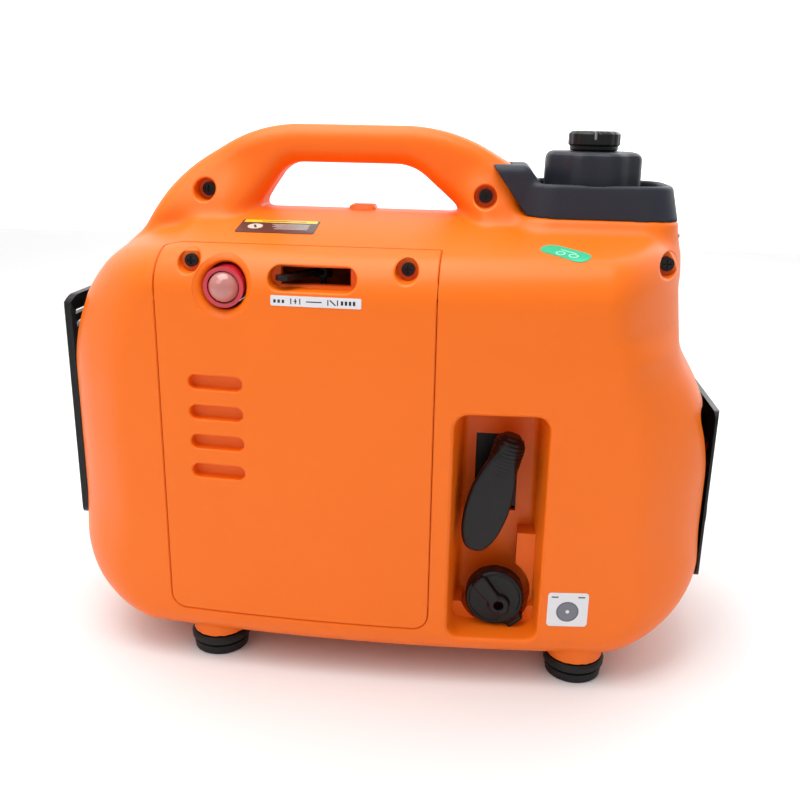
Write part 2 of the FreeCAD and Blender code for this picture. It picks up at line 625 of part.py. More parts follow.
def make_exhaust_louvre():
    reach = box((-HALF_LENGTH, 0), (-WIDTH, WIDTH), (0, 2 * DECK_Z))
    plate = louvre_zone(0.2).common(belly(-1.5)).common(reach).cut(belly(WALL))
    cuts = [rod((-300, 0, TAILPIPE_Z), (-100, 0, TAILPIPE_Z), TAILPIPE_R + FIT_GAP)]
    z = LOUVRE_TOP_Z - 16
    while z > TAILPIPE_Z + 24:
        cuts.append(box((-300, -100), (-LOUVRE_SLIT_HALF, LOUVRE_SLIT_HALF), (z, z + LOUVRE_SLIT_HEIGHT)))
        z -= LOUVRE_PITCH
    save("exhaust_louvre", plate.cut(cuts))


MUFFLER_X = (-200.0, -118.0)
MUFFLER_HALF = 54.0
MUFFLER_Z = (84.0, 216.0)
MUFFLER_SHEET = 2.0
MUFFLER_ROUND = 16.0
EXHAUST_PIPE_Z = 204.0


def drum_block(inset):
    block = box((MUFFLER_X[0] + inset, MUFFLER_X[1] - inset),
                (inset - MUFFLER_HALF, MUFFLER_HALF - inset),
                (MUFFLER_Z[0] + inset, MUFFLER_Z[1] - inset))
    return round_edges(block, MUFFLER_ROUND - inset, lambda e: True)


def make_muffler():
    left, right = MUFFLER_X
    tail_bore_r = TAILPIPE_R - MUFFLER_SHEET
    pipe = rod((right - 1, 0, EXHAUST_PIPE_Z), (ENGINE_X - 34, 0, EXHAUST_PIPE_Z), 9.0)
    tail = tube((left, 0, TAILPIPE_Z), (-HALF_LENGTH + 0.5, 0, TAILPIPE_Z), TAILPIPE_R, tail_bore_r)
    body = fuse([drum_block(0), pipe, tail]).cut(drum_block(MUFFLER_SHEET))
    save("muffler", body.cut(rod((left - 30, 0, TAILPIPE_Z), (left + 10, 0, TAILPIPE_Z), tail_bore_r)))


# ---- filler, tank and fuel line ----

TANK_X = (20.0, 164.0)
TANK_Z = (196.0, 272.0)
TANK_HALF_WIDTH = 78.0
TANK_WALL = 2.0
TANK_ROUND = 14.0
FUEL_LINE_X = 95.0
FUEL_LINE_Y = -58.0
HOSE_R = 3.0


def make_fuel_tank():
    block = box(TANK_X, (-TANK_HALF_WIDTH, TANK_HALF_WIDTH), TANK_Z)
    body = block.makeFillet(TANK_ROUND, block.Edges)
    inside = box((TANK_X[0] + TANK_WALL, TANK_X[1] - TANK_WALL),
                 (TANK_WALL - TANK_HALF_WIDTH, TANK_HALF_WIDTH - TANK_WALL),
                 (TANK_Z[0] + TANK_WALL, TANK_Z[1] - TANK_WALL))
    inside = inside.makeFillet(TANK_ROUND - TANK_WALL, inside.Edges)
    neck = rod((FILLER_X, 0, TANK_Z[1] - 2), (FILLER_X, 0, NECK_TOP_Z), NECK_R)
    bore = rod((FILLER_X, 0, TANK_Z[1] - 8), (FILLER_X, 0, NECK_TOP_Z), NECK_R - 3)
    x, y = FUEL_LINE_X, FUEL_LINE_Y
    spigot = rod((x, y, TANK_Z[0] - 10), (x, y, TANK_Z[0] + 1), 2.5)
    save("fuel_tank", fuse([body, neck, spigot]).cut([inside, bore]))


def make_collar():
    """the dished surround of the filler, seated on the deck, with a wing up the handle's foot"""
    side = COLLAR_HALF_WIDTH
    foot = rounded_wire(rectangle(COLLAR_LEFT_X - 2, COLLAR_RIGHT_X, -side - 2, side + 2, 26.0),
                        lambda u, v: V(u, v, DECK_Z - 30))
    rim = rounded_wire(rectangle(COLLAR_LEFT_X, COLLAR_RIGHT_X - 5, -side + 3, side - 3, 24.0),
                       lambda u, v: V(u, v, COLLAR_TOP_Z))
    body = Part.makeLoft([foot, rim], True, True)
    wing_top = COLLAR_TOP_Z + 11
    wing = slab_y([(COLLAR_LEFT_X - 5, DECK_Z, 0), (COLLAR_LEFT_X + 22, DECK_Z, 0),
                   (COLLAR_LEFT_X + 14, wing_top, 3.0), (COLLAR_LEFT_X - 5, wing_top, 2.0)],
                  -side + 14, side - 14)
    pocket = rod((FILLER_X, 0, DECK_Z + 8), (FILLER_X, 0, 2 * DECK_Z), CAP_R + 5)
    neck = rod((FILLER_X, 0, 0), (FILLER_X, 0, 2 * DECK_Z), NECK_R + FIT_GAP)
    dish = slab_z(rectangle(COLLAR_LEFT_X + 18, COLLAR_RIGHT_X - 9, -side + 7, side - 7, 18.0),
                  COLLAR_TOP_Z - 5, 2 * DECK_Z)
    collar = fuse([body, wing]).cut([belly(0), handle_body(), pocket, neck, dish])
    save("tank_collar", max(collar.Solids, key=lambda s: s.Volume))


def make_fuel_cap():
    corner = CAP_R / math.cos(math.pi / CAP_FLATS)
    outline = []
    for i in range(CAP_FLATS):
        angle = 2 * math.pi * (i + 0.5) / CAP_FLATS
        outline.append((FILLER_X + corner * math.cos(angle), corner * math.sin(angle), CAP_CORNER_R))
    floor_z = NECK_TOP_Z - 6
    body = slab_z(outline, floor_z, CAP_TOP_Z)
    body = round_edges(body, 2.5, lambda e: e.BoundBox.ZMin > CAP_TOP_Z - 0.01)
    skirt = rod((FILLER_X, 0, floor_z), (FILLER_X, 0, NECK_TOP_Z + 2), NECK_R + 1)
    stem_hole = rod((FILLER_X, 0, CAP_TOP_Z - 10), (FILLER_X, 0, CAP_TOP_Z), VENT_STEM_R + RUN_GAP)
    save("fuel_cap", body.cut([skirt, stem_hole]))
    seal = tube((FILLER_X, 0, NECK_TOP_Z + 0.1), (FILLER_X, 0, NECK_TOP_Z + 2), NECK_R, NECK_R - 6)
    save("cap_gasket", seal)
    disc = rod((FILLER_X, 0, CAP_TOP_Z + 0.3), (FILLER_X, 0, VENT_KNOB_TOP_Z), VENT_KNOB_R)
    disc = round_edges(disc, 1.5, lambda e: e.BoundBox.ZMin > VENT_KNOB_TOP_Z - 0.01)
    stem = rod((FILLER_X, 0, CAP_TOP_Z - 8), (FILLER_X, 0, CAP_TOP_Z + 1), VENT_STEM_R)
    slit = box((FILLER_X - 1.2, FILLER_X + 1.2), (-30, 30), (VENT_KNOB_TOP_Z - 6, VENT_KNOB_TOP_Z + 1))
    save("cap_vent_knob", disc.fuse(stem).cut(slit))


def make_fuel_line():
    block = box((COCK_X - 12, COCK_X + 22), (-66, -48), (COCK_Z - 8, COCK_Z + 10))
    block = round_edges(block, 2.0, lambda e: True)
    bore = rod((COCK_X, -70, COCK_Z), (COCK_X, -60, COCK_Z), COCK_STEM_R + RUN_GAP)
    save("fuel_cock_body", block.cut(bore))
    top, low = TANK_Z[0] - 10, COCK_Z + 10
    x, y = FUEL_LINE_X, FUEL_LINE_Y
    drop = tube((x, y, low), (x, y, top + 8), 3.5, 2.5)
    bend = (CHOKE_X, y, COCK_Z)
    run = [rod((COCK_X - 12, y, COCK_Z), bend, HOSE_R),
           Part.makeSphere(HOSE_R, V(*bend)),
           rod(bend, (CHOKE_X, y, 168), HOSE_R)]
    save("fuel_hose", Part.makeCompound([drop, fuse(run)]))


def make_fuel_cock_knob():
    front, back = COCK_KNOB_FRONT_Y, COCK_KNOB_FRONT_Y + COCK_KNOB_DEPTH
    disc = rod((COCK_X, front + 5, COCK_Z), (COCK_X, back, COCK_Z), COCK_KNOB_R)
    disc = round_edges(disc, 2.0, lambda e: e.BoundBox.YMax < front + 5.01)
    rib = box((COCK_X - 17, COCK_X + 17), (front, front + 6), (COCK_Z - 5, COCK_Z + 5))
    tab = box((COCK_X + 12, COCK_X + 21.5), (front + 4, back - 2), (COCK_Z - 6, COCK_Z + 6))
    pointer = turned(rib.fuse(tab), (COCK_X, front, COCK_Z), (0, 1, 0), 50)
    stem = rod((COCK_X, back - 1, COCK_Z), (COCK_X, -62, COCK_Z), COCK_STEM_R)
    save("fuel_cock_knob", fuse([disc, pointer, stem]))


# ---- choke, primer, carburettor and air filter ----

CARB_Z = 206.0
CARB_BORE_R = 9.6
THROTTLE_Y = -54.0
THROTTLE_SHAFT_R = 1.8
CHOKE_SPINDLE_R = 2.0
DISC_GAP = 0.6            # from the rim of a disc valve to the bore
FILTER_Y = (-104.0, -88.0)
FILTER_HALF = 35.0
FILTER_Z = (CARB_Z - 38.0, CARB_Z + 30.0)
CHOKE_REST = -CHOKE_TURN / 2


def make_choke():
    x, y, z = CHOKE_X, CHOKE_PIVOT_Y, CHOKE_Z
    hub = rod((x, y, z - 3.5), (x, y, z + 3.5), 6.0)
    arm = box((x - 4.5, x + 4.5), (y - CHOKE_ARM, y), (z - 1.5, z + 1.5))
    tip = round_edges(arm, 3.0, lambda e: e.BoundBox.YMax < y - CHOKE_ARM + 0.01
                      and e.BoundBox.ZMax - e.BoundBox.ZMin > 1)
    spindle = rod((x, y, CARB_Z - 11), (x, y, z), CHOKE_SPINDLE_R)
    lever = fuse([hub, tip, spindle])
    plate = rod((x - 0.5, y, CARB_Z), (x + 0.5, y, CARB_Z), CARB_BORE_R - DISC_GAP)
    save("choke_lever", turned(lever, (x, y, z), (0, 0, 1), CHOKE_REST).cut(plate))
    save("choke_plate", plate)


def make_carburettor():
    x = CHOKE_X
    body = box((x - 15, x + 15), (-88, -44), (CARB_Z - 15, CARB_Z + 15))
    body = round_edges(body, 3.0, lambda e: e.BoundBox.YMax - e.BoundBox.YMin > 10)
    bowl = rod((x, -62, CARB_Z - 38), (x, -62, CARB_Z - 15), 14.0)
    cuts = [rod((x, -90, CARB_Z), (x, -40, CARB_Z), CARB_BORE_R),
            rod((x, CHOKE_PIVOT_Y, CARB_Z - 12), (x, CHOKE_PIVOT_Y, CARB_Z + 20),
                CHOKE_SPINDLE_R + RUN_GAP),
            rod((x - 20, THROTTLE_Y, CARB_Z), (x + 20, THROTTLE_Y, CARB_Z), THROTTLE_SHAFT_R + RUN_GAP)]
    save("carburettor", body.fuse(bowl).cut(cuts))
    y = THROTTLE_Y
    shaft = rod((x - 22, y, CARB_Z), (x + 18, y, CARB_Z), THROTTLE_SHAFT_R)
    plate = rod((x, y, CARB_Z - 0.5), (x, y, CARB_Z + 0.5), CARB_BORE_R - DISC_GAP)
    arm = box((x - 22, x - 19), (y - 4, y + 4), (CARB_Z - 2, CARB_Z + 18))
    save("throttle_valve", fuse([shaft, plate, arm]))


def make_air_filter():
    x = CHOKE_X
    half = FILTER_HALF
    front, back = FILTER_Y
    low, high = FILTER_Z
    case = box((x - half, x + half), FILTER_Y, FILTER_Z)
    case = round_edges(case, 4.0, lambda e: e.BoundBox.YMax - e.BoundBox.YMin > 10)
    inside = box((x - half + 2, x + half - 2), (front + 2, back - 2), (low + 2, high - 2))
    port = rod((x, -92, CARB_Z), (x, -86, CARB_Z), CARB_BORE_R)
    snorkel = box((x + 20, x + 30), (-92, -86), (CARB_Z - 34, CARB_Z - 24))
    save("air_filter_box", case.cut([inside, port, snorkel]))
    foam = box((x - half + 2, x + half - 2), (front + 2, front + 10), (low + 2, high - 2))
    save("filter_element", foam)


def make_primer():
    x, z = PRIMER_X, PRIMER_Z
    body = rod((x, -104, z), (x, DOOR_TOP_Y, z), PRIMER_BULB_R + 3)
    bracket = box((x - 8, x + 8), (DOOR_TOP_Y, DOOR_TOP_Y + 4), (z - 12, DECK_Z))
    bracket = bracket.common(belly(WALL))
    ring = rod((x, -110, z), (x, -104, z), PRIMER_BULB_R + 3)
    cavity = rod((x, -112, z), (x, -91, z), PRIMER_BULB_R + 0.5)
    save("primer_base", fuse([body, bracket, ring]).cut(cavity))
    bulb = rod((x, -108, z), (x, -97, z), PRIMER_BULB_R)
    dome = Part.makeSphere(PRIMER_BULB_R, V(x, -107.4, z))
    save("primer_bulb", bulb.fuse(dome))


# ---- starter ----

HOUSING_X = (58.0, 88.0)
ROPE_END_Y = -24.0
GROOVE_HALF = 3.5


def make_starter_grip():
    half = STARTER_GRIP_LENGTH / 2
    width = STARTER_GRIP_WIDTH / 2
    front = STARTER_GRIP_BACK_Y - STARTER_GRIP_DEPTH
    corners = rectangle(ROPE_X - width, ROPE_X + width, ROPE_Z - half, ROPE_Z + half, width - 0.01)
    body = slab_y(corners, front, STARTER_GRIP_BACK_Y)
    body = round_edges(body, 5.0, lambda e: e.BoundBox.YMax - e.BoundBox.YMin < 0.01)
    body = turned(body, (ROPE_X, 0, ROPE_Z), (0, 1, 0), STARTER_GRIP_TILT)
    save("starter_grip", body)
    rope = rod((ROPE_X, STARTER_GRIP_BACK_Y, ROPE_Z), (ROPE_X, ROPE_END_Y, ROPE_Z), ROPE_R)
    save("starter_rope", rope)


def make_rope_guide():
    back = RECESS_BACK_Y + WALL
    plate = box((ROPE_X - 13.5, ROPE_X + 22.5), (back, back + 2.5), (ROPE_Z - 20, ROPE_Z + 38))
    eye = rod((ROPE_X, back - 3, ROPE_Z), (ROPE_X, back + 2.5, ROPE_Z), 6.0)
    guide = plate.fuse(eye).cut(rod((ROPE_X, -100, ROPE_Z), (ROPE_X, 0, ROPE_Z), ROPE_R + 0.6))
    save("rope_guide", guide)


def make_recoil():
    low, high = HOUSING_X
    axis = (0.0, CRANK_Z)
    rim = PULLEY_R + 5
    wall = along_x(axis, low, high, rim + 6).cut(along_x(axis, low - 1, high - 2, rim + 4))
    stud = along_x(axis, low + 6, high - 1, STUD_R)
    window = rod((ROPE_X, -80, ROPE_Z), (ROPE_X, 0, ROPE_Z), 5.0)
    save("recoil_housing", wall.cut(window).fuse(stud))
    disc = along_x(axis, low + 8, low + 23, rim).cut(along_x(axis, low, high, STUD_R + RUN_GAP))
    groove = along_x(axis, ROPE_X - GROOVE_HALF, ROPE_X + GROOVE_HALF, rim + 1).cut(
        along_x(axis, ROPE_X - 4, ROPE_X + 4, PULLEY_R - 2))
    save("recoil_pulley", disc.cut(groove))
    coil = along_x(axis, ROPE_X - GROOVE_HALF, ROPE_X + GROOVE_HALF, PULLEY_R + 2).cut(
        along_x(axis, ROPE_X - 4, ROPE_X + 4, PULLEY_R - 2))
    save("rope_coil", coil)
    spring = along_x(axis, low + 23.5, high - 2, 32.0).cut(along_x(axis, low, high, 12.0))
    save("recoil_spring", spring)


# ---- engine ----

AXIS = (0.0, CRANK_Z)
OIL_NECK_Z = 68.0
OIL_NECK_R = 10.0
OIL_PLUG_R = 6.0
CRANK_THROW = 18.0
WEB_R = 24.0
CRANK_PIN_R = 6.5
FIN_HALF = 32.0
FIN_PITCH = 7.0
PISTON_LENGTH = 30.0


def make_crankcase():
    low, high = ENGINE_X - CASE_LENGTH / 2, ENGINE_X + CASE_LENGTH / 2
    block = box((low, high), (-CASE_HALF_WIDTH, CASE_HALF_WIDTH), (CASE_FLOOR_Z, CASE_TOP_Z))
    block = round_edges(block, 6.0, lambda e: e.BoundBox.XMax - e.BoundBox.XMin > 10)
    wall = CASE_WALL
    inside = box((low + wall, high - wall), (-CASE_HALF_WIDTH + wall, CASE_HALF_WIDTH - wall),
                 (CASE_FLOOR_Z + wall, CASE_TOP_Z - wall))
    bosses = [along_x(AXIS, low, low + 12, BEARING_R + 5), along_x(AXIS, high - 12, high, BEARING_R + 5)]
    nose = along_x(AXIS, high, high + 3, BEARING_R + 5).fuse(along_x(AXIS, high, 30, 16.0))
    neck_y = -CASE_HALF_WIDTH - 6
    oil_neck = rod((ENGINE_X, neck_y, OIL_NECK_Z), (ENGINE_X, neck_y + 11, OIL_NECK_Z), OIL_NECK_R)
    body = fuse([block.cut(inside), nose, oil_neck] + bosses)
    cuts = [along_x(AXIS, low - 1, low + 10, BEARING_R), along_x(AXIS, high - 10, high, BEARING_R),
            along_x(AXIS, low - 1, 31, SHAFT_R + 1.5),
            rod((ENGINE_X, 0, CASE_TOP_Z - 6), (ENGINE_X, 0, CASE_TOP_Z + 1), BORE_R + 0.5),
            rod((ENGINE_X, -60, OIL_NECK_Z), (ENGINE_X, -30, OIL_NECK_Z), OIL_PLUG_R + RUN_GAP)]
    save("crankcase", body.cut(cuts))
    races = [along_x(AXIS, x, x + 9, BEARING_R).cut(along_x(AXIS, x - 1, x + 10, SHAFT_R + RUN_GAP))
             for x in (low, high - 10)]
    save("crank_bearings", Part.makeCompound(races))


def make_oil_cap():
    x, y, z = ENGINE_X, -CASE_HALF_WIDTH - 6, OIL_NECK_Z
    cap = rod((x, y - 10, z), (x, y - 0.3, z), OIL_NECK_R + 2)
    grip = box((x - 10, x + 10), (y - 16, y - 9), (z - 2.5, z + 2.5))
    plug = rod((x, y - 1, z), (x, -36, z), OIL_PLUG_R)
    save("oil_cap", fuse([cap, grip, plug]))


def make_crankshaft():
    low = ENGINE_X - CASE_LENGTH / 2
    webs = [along_x(AXIS, ENGINE_X - 15, ENGINE_X - 7, WEB_R),
            along_x(AXIS, ENGINE_X + 7, ENGINE_X + 15, WEB_R)]
    pin = along_x((0, CRANK_Z + CRANK_THROW - 1), ENGINE_X - 8, ENGINE_X + 8, CRANK_PIN_R)
    journals = [along_x(AXIS, low - 3, ENGINE_X - 8, SHAFT_R), along_x(AXIS, ENGINE_X + 8, 60, SHAFT_R)]
    cup = along_x(AXIS, 56.5, 62, 20.0).cut(along_x(AXIS, 58.5, 63, 17.0))
    save("crankshaft", fuse(webs + [pin] + journals + [cup]))


def make_piston():
    low = CASE_TOP_Z + 4
    body = rod((ENGINE_X, 0, low), (ENGINE_X, 0, low + PISTON_LENGTH), PISTON_R)
    hollow = rod((ENGINE_X, 0, low - 1), (ENGINE_X, 0, low + 22), PISTON_R - 4)
    wrist = rod((ENGINE_X - PISTON_R + 1, 0, low + 10), (ENGINE_X + PISTON_R - 1, 0, low + 10), 5.0)
    grooves = [rod((ENGINE_X, 0, z), (ENGINE_X, 0, z + 1.2), PISTON_R + 1).cut(
        rod((ENGINE_X, 0, z), (ENGINE_X, 0, z + 1.2), PISTON_R - 1)) for z in (low + 22, low + 25)]
    save("piston", fuse([body.cut(hollow), wrist]).cut(grooves))


def make_cylinder():
    half = FIN_HALF
    barrel = rod((ENGINE_X, 0, CASE_TOP_Z), (ENGINE_X, 0, BARREL_TOP_Z), BORE_R + 6)
    fins = []
    z = CASE_TOP_Z + FIN_PITCH
    while z < BARREL_TOP_Z - 3:
        fins.append(slab_z(rectangle(ENGINE_X - half, ENGINE_X + half, -half, half, 6.0), z, z + 2))
        z += FIN_PITCH
    bore = rod((ENGINE_X, 0, CASE_TOP_Z - 1), (ENGINE_X, 0, BARREL_TOP_Z + 1), BORE_R)
    save("cylinder_barrel", fuse([barrel] + fins).cut(bore))
    head = box((ENGINE_X - half - 2, ENGINE_X + half + 2), (-half - 2, half + 2),
               (BARREL_TOP_Z, HEAD_TOP_Z))
    cover = slab_z(rectangle(ENGINE_X - 28, ENGINE_X + 28, -26, 26, 8.0), HEAD_TOP_Z, HEAD_TOP_Z + 18)
    port = rod((CHOKE_X, -44, CARB_Z), (CHOKE_X, -33, CARB_Z), CARB_BORE_R + 4)
    head = fuse([head, cover, port]).cut(rod((CHOKE_X, -45, CARB_Z), (CHOKE_X, -20, CARB_Z), CARB_BORE_R))
    save("cylinder_head", head)


PLUG_Z = 208.0
PLUG_R = 5.0
COIL_Z = (100.0, 126.0)


def make_ignition():
    x, z = ENGINE_X - 22, PLUG_Z
    plug = fuse([rod((x, -34, z), (x, -41, z), 8.0), rod((x, -40, z), (x, -58, z), PLUG_R)])
    save("spark_plug", plug)
    cap = rod((x, -48, z), (x, -70, z), PLUG_R + 4)
    lead = rod((x, -62, COIL_Z[1]), (x, -62, z), 3.0)
    save("plug_cap", fuse([cap, lead]).cut(rod((x, -47, z), (x, -58, z), PLUG_R)))
    save("ignition_coil", box((x - 12, x + 12), (-CASE_HALF_WIDTH - 22, -CASE_HALF_WIDTH), COIL_Z))


STATOR_X = (14.0, 28.0)
TOOTH_HALF = 3.5
TOOTH_COUNT = 12
ROTOR_X = (12.0, 38.0)


def make_alternator():
    low, high = ROTOR_X
    ring = along_x(AXIS, low, high, ROTOR_R).cut(along_x(AXIS, low - 1, high - 2, ROTOR_R - 8))
    hub = along_x(AXIS, 32, 41, 15.0)
    save("rotor", fuse([ring, hub]).cut(along_x(AXIS, 0, 60, SHAFT_R)))
    low, high = STATOR_X
    teeth = [along_x(AXIS, low, high, 24.0)]
    coils = []
    for i in range(TOOTH_COUNT):
        angle = i * 360 / TOOTH_COUNT
        tooth = box(STATOR_X, (-TOOTH_HALF, TOOTH_HALF), (CRANK_Z + 20, CRANK_Z + 45))
        slot = box(STATOR_X, (-TOOTH_HALF, TOOTH_HALF), (CRANK_Z, CRANK_Z + 60))
        coil = box((low - 1.5, high + 1.5), (-TOOTH_HALF - 3, TOOTH_HALF + 3),
                   (CRANK_Z + 26, CRANK_Z + 41)).cut(slot)
        teeth.append(turned(tooth, (0, 0, CRANK_Z), (1, 0, 0), angle))
        coils.append(turned(coil, (0, 0, CRANK_Z), (1, 0, 0), angle))
    save("stator_core", fuse(teeth).cut(along_x(AXIS, 0, 40, 16.0)))
    save("stator_coils", Part.makeCompound(coils))


FAN_X = (41.0, 55.0)
BLADE_COUNT = 12
SHROUD_R = 63.0


def make_fan():
    near, far = FAN_X
    disc = along_x(AXIS, near, near + 2, FAN_R)
    blades = []
    for i in range(BLADE_COUNT):
        blade = box((near + 1.5, far), (-0.9, 0.9), (CRANK_Z + 22, CRANK_Z + FAN_R - 1))
        blades.append(turned(blade, (0, 0, CRANK_Z), (1, 0, 0), i * 360 / BLADE_COUNT))
    save("cooling_fan", fuse([disc] + blades).cut(along_x(AXIS, 0, 60, SHAFT_R)))
    low, high = 4.0, HOUSING_X[0]
    ring = along_x(AXIS, low, high, SHROUD_R).cut(along_x(AXIS, low - 1, high - 2, SHROUD_R - 3))
    ring = ring.cut(along_x(AXIS, high - 3, high + 1, PULLEY_R + 9))
    legs = [rod((ENGINE_X + CASE_LENGTH / 2, y, CRANK_Z + z), (low + 6, y, CRANK_Z + z), 4.0)
            for y in (-43, 43) for z in (-43, 43)]
    legs = [leg.common(box((-20, low + 6), (-60, 60), (0, 200))) for leg in legs]
    save("fan_shroud", fuse([ring] + legs).cut(along_x(AXIS, low, high - 2, SHROUD_R - 3)))


# ---- base ----

BASE_SHEET = 2.0
INVERTER_X = (104.0, 158.0)
INVERTER_TOP_Z = 84.0
INVERTER_FIN_COUNT = 9


def make_base():
    low = BELLY_FLOOR + WALL
    top = low + BASE_SHEET
    plate = slab_z(rectangle(-160, 160, -88, 88, 10.0), low, top)
    holes = [rod((x, y, 0), (x, y, 40), FOOT_SCREW_R) for x in FOOT_X for y in FOOT_Y]
    save("base_plate", plate.common(belly(WALL)).cut(holes))
    mounts = [rod((ENGINE_X + dx, dy, top), (ENGINE_X + dx, dy, CASE_FLOOR_Z), 10.0)
              for dx in (-32, 32) for dy in (-32, 32)]
    save("engine_mounts", Part.makeCompound(mounts))
    feet = []
    screws = []
    for x in FOOT_X:
        for y in FOOT_Y:
            foot = rod((x, y, 0), (x, y, FOOT_HEIGHT), FOOT_R)
            foot = round_edges(foot, 2.0, lambda e: True)
            foot = foot.cut([rod((x, y, -1), (x, y, 4), FOOT_SCREW_HEAD_R + 1),
                             rod((x, y, 0), (x, y, 20), FOOT_SCREW_R + SCREW_GAP)])
            feet.append(foot)
            head = rod((x, y, 1), (x, y, 4), FOOT_SCREW_HEAD_R)
            screws.append(head.fuse(rod((x, y, 4), (x, y, top), FOOT_SCREW_R)))
    save("rubber_feet", Part.makeCompound(feet))
    save("foot_screws", Part.makeCompound(screws))


def make_inverter():
    start = INVERTER_X[0]
    top = INVERTER_TOP_Z
    body = box(INVERTER_X, (-60, 86), (BELLY_FLOOR + WALL + BASE_SHEET, top))
    fins = [box((start + 6 * i, start + 6 * i + 2), (-56, 82), (top, top + 16))
            for i in range(INVERTER_FIN_COUNT)]
    save("inverter_module", fuse([body] + fins))


os.makedirs("parts", exist_ok=True)
whole = make_case()
make_shell_screws()
make_door(whole)
make_labels()
make_control_panel()
make_sockets()
make_panel_controls()
make_exhaust_louvre()
make_muffler()
make_fuel_tank()
make_collar()
make_fuel_cap()
make_fuel_line()
make_fuel_cock_knob()
make_choke()
make_carburettor()
make_air_filter()
make_primer()
make_starter_grip()
make_rope_guide()
make_recoil()
make_crankcase()
make_oil_cap()
make_crankshaft()
make_piston()
make_cylinder()
make_ignition()
make_alternator()
make_fan()
make_base()
make_inverter()
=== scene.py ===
import math

import bmesh
import bpy
import numpy as np
from mathutils import Matrix, Vector


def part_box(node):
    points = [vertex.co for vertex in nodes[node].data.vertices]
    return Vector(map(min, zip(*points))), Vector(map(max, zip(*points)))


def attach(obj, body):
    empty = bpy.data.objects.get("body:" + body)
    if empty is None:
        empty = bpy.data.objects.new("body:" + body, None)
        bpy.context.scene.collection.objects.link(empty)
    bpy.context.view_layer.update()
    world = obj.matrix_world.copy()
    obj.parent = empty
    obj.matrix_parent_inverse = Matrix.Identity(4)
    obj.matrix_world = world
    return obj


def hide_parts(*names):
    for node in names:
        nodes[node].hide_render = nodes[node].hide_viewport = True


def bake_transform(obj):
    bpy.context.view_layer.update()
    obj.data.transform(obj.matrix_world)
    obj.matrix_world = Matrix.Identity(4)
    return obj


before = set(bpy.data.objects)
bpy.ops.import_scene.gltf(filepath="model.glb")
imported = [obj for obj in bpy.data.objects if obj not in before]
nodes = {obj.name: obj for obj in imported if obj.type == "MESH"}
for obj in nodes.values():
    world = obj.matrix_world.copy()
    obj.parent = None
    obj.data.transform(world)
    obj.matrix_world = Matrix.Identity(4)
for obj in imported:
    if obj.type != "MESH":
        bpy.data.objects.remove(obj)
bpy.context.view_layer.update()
bpy.ops.object.select_all(action="DESELECT")

# ---------------------------------------------------------------------------
# The two halves of the case and the service door.  Each is one thin moulding of
# orange plastic; together they are cut from one skin, which is worked out as a
# distance field in millimetres (positive outside) and then meshed.
# ---------------------------------------------------------------------------

near_low, near_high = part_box("near_shell")
HALF_LENGTH = near_high.x * 1000
HALF_WIDTH = -near_low.y * 1000
FLOOR = near_low.z * 1000 + 6.0
HANDLE_TOP = near_high.z * 1000
DECK = HANDLE_TOP - 56.0
SLOPE = math.tan(math.radians(12))
SIDE_RADIUS = 1300.0
END_RADIUS = 250.0
WALL = 3.0
LOW_ROUNDS = (60.0, 65.0)       # corners in side view, exhaust end and panel end
TOP_ROUNDS = (120.0, 110.0)
BODY_TOP = ((-121, DECK - 1), (115, DECK - 35))
SHOULDER = ((HALF_LENGTH - 28, DECK - 82), (HALF_LENGTH - 38, DECK))
HANDLE_LINE = ((-192, DECK - 42), (-150, HANDLE_TOP - 32), (-95, HANDLE_TOP))
HANDLE_FALL = ((35, HANDLE_TOP), (84, HANDLE_TOP - 28))
HAND_LEFT = ((-98, DECK), (-76, DECK + 31))
HAND_RIGHT = ((10, DECK + 31), (46, DECK))
HANDLE_HALF = 17.0
FLARE = 17.0
FEET = [(x, y) for x in (-113.0, 135.0) for y in (-84.0, 84.0)]
FOOT_BOSS_R = 19.0
PLINTH = (133, 53, 43)          # middle, half length and half width
CATCH = (-25, 9, 6)


def edge(a, b, radius):
    """the intersection of two fields, with its edge rounded"""
    u = np.maximum(a + radius, 0)
    v = np.maximum(b + radius, 0)
    return np.sqrt(u * u + v * v) + np.minimum(np.maximum(a, b) + radius, 0) - radius


def melt(a, b, reach):
    """the union of two fields, with a fillet of about that reach"""
    share = np.clip(0.5 + 0.5 * (b - a) / reach, 0, 1)
    return b * (1 - share) + a * share - reach * share * (1 - share)


def ramp(value, low, high):
    """0 below low, 1 above high, smooth between"""
    t = np.clip((value - low) / (high - low), 0, 1)
    return t * t * (3 - 2 * t)


def slanted(x, z, start, end):
    """a half-plane in side view; outside is to the left of the way from start to end"""
    run, rise = end[0] - start[0], end[1] - start[1]
    length = math.hypot(run, rise)
    return ((z - start[1]) * run - (x - start[0]) * rise) / length


def soften(a, b, reach):
    """the intersection of two fields that meet at a shallow angle, with its edge rounded"""
    near = np.maximum(reach - np.abs(a - b), 0)
    return np.maximum(a, b) + near * near / (4 * reach)


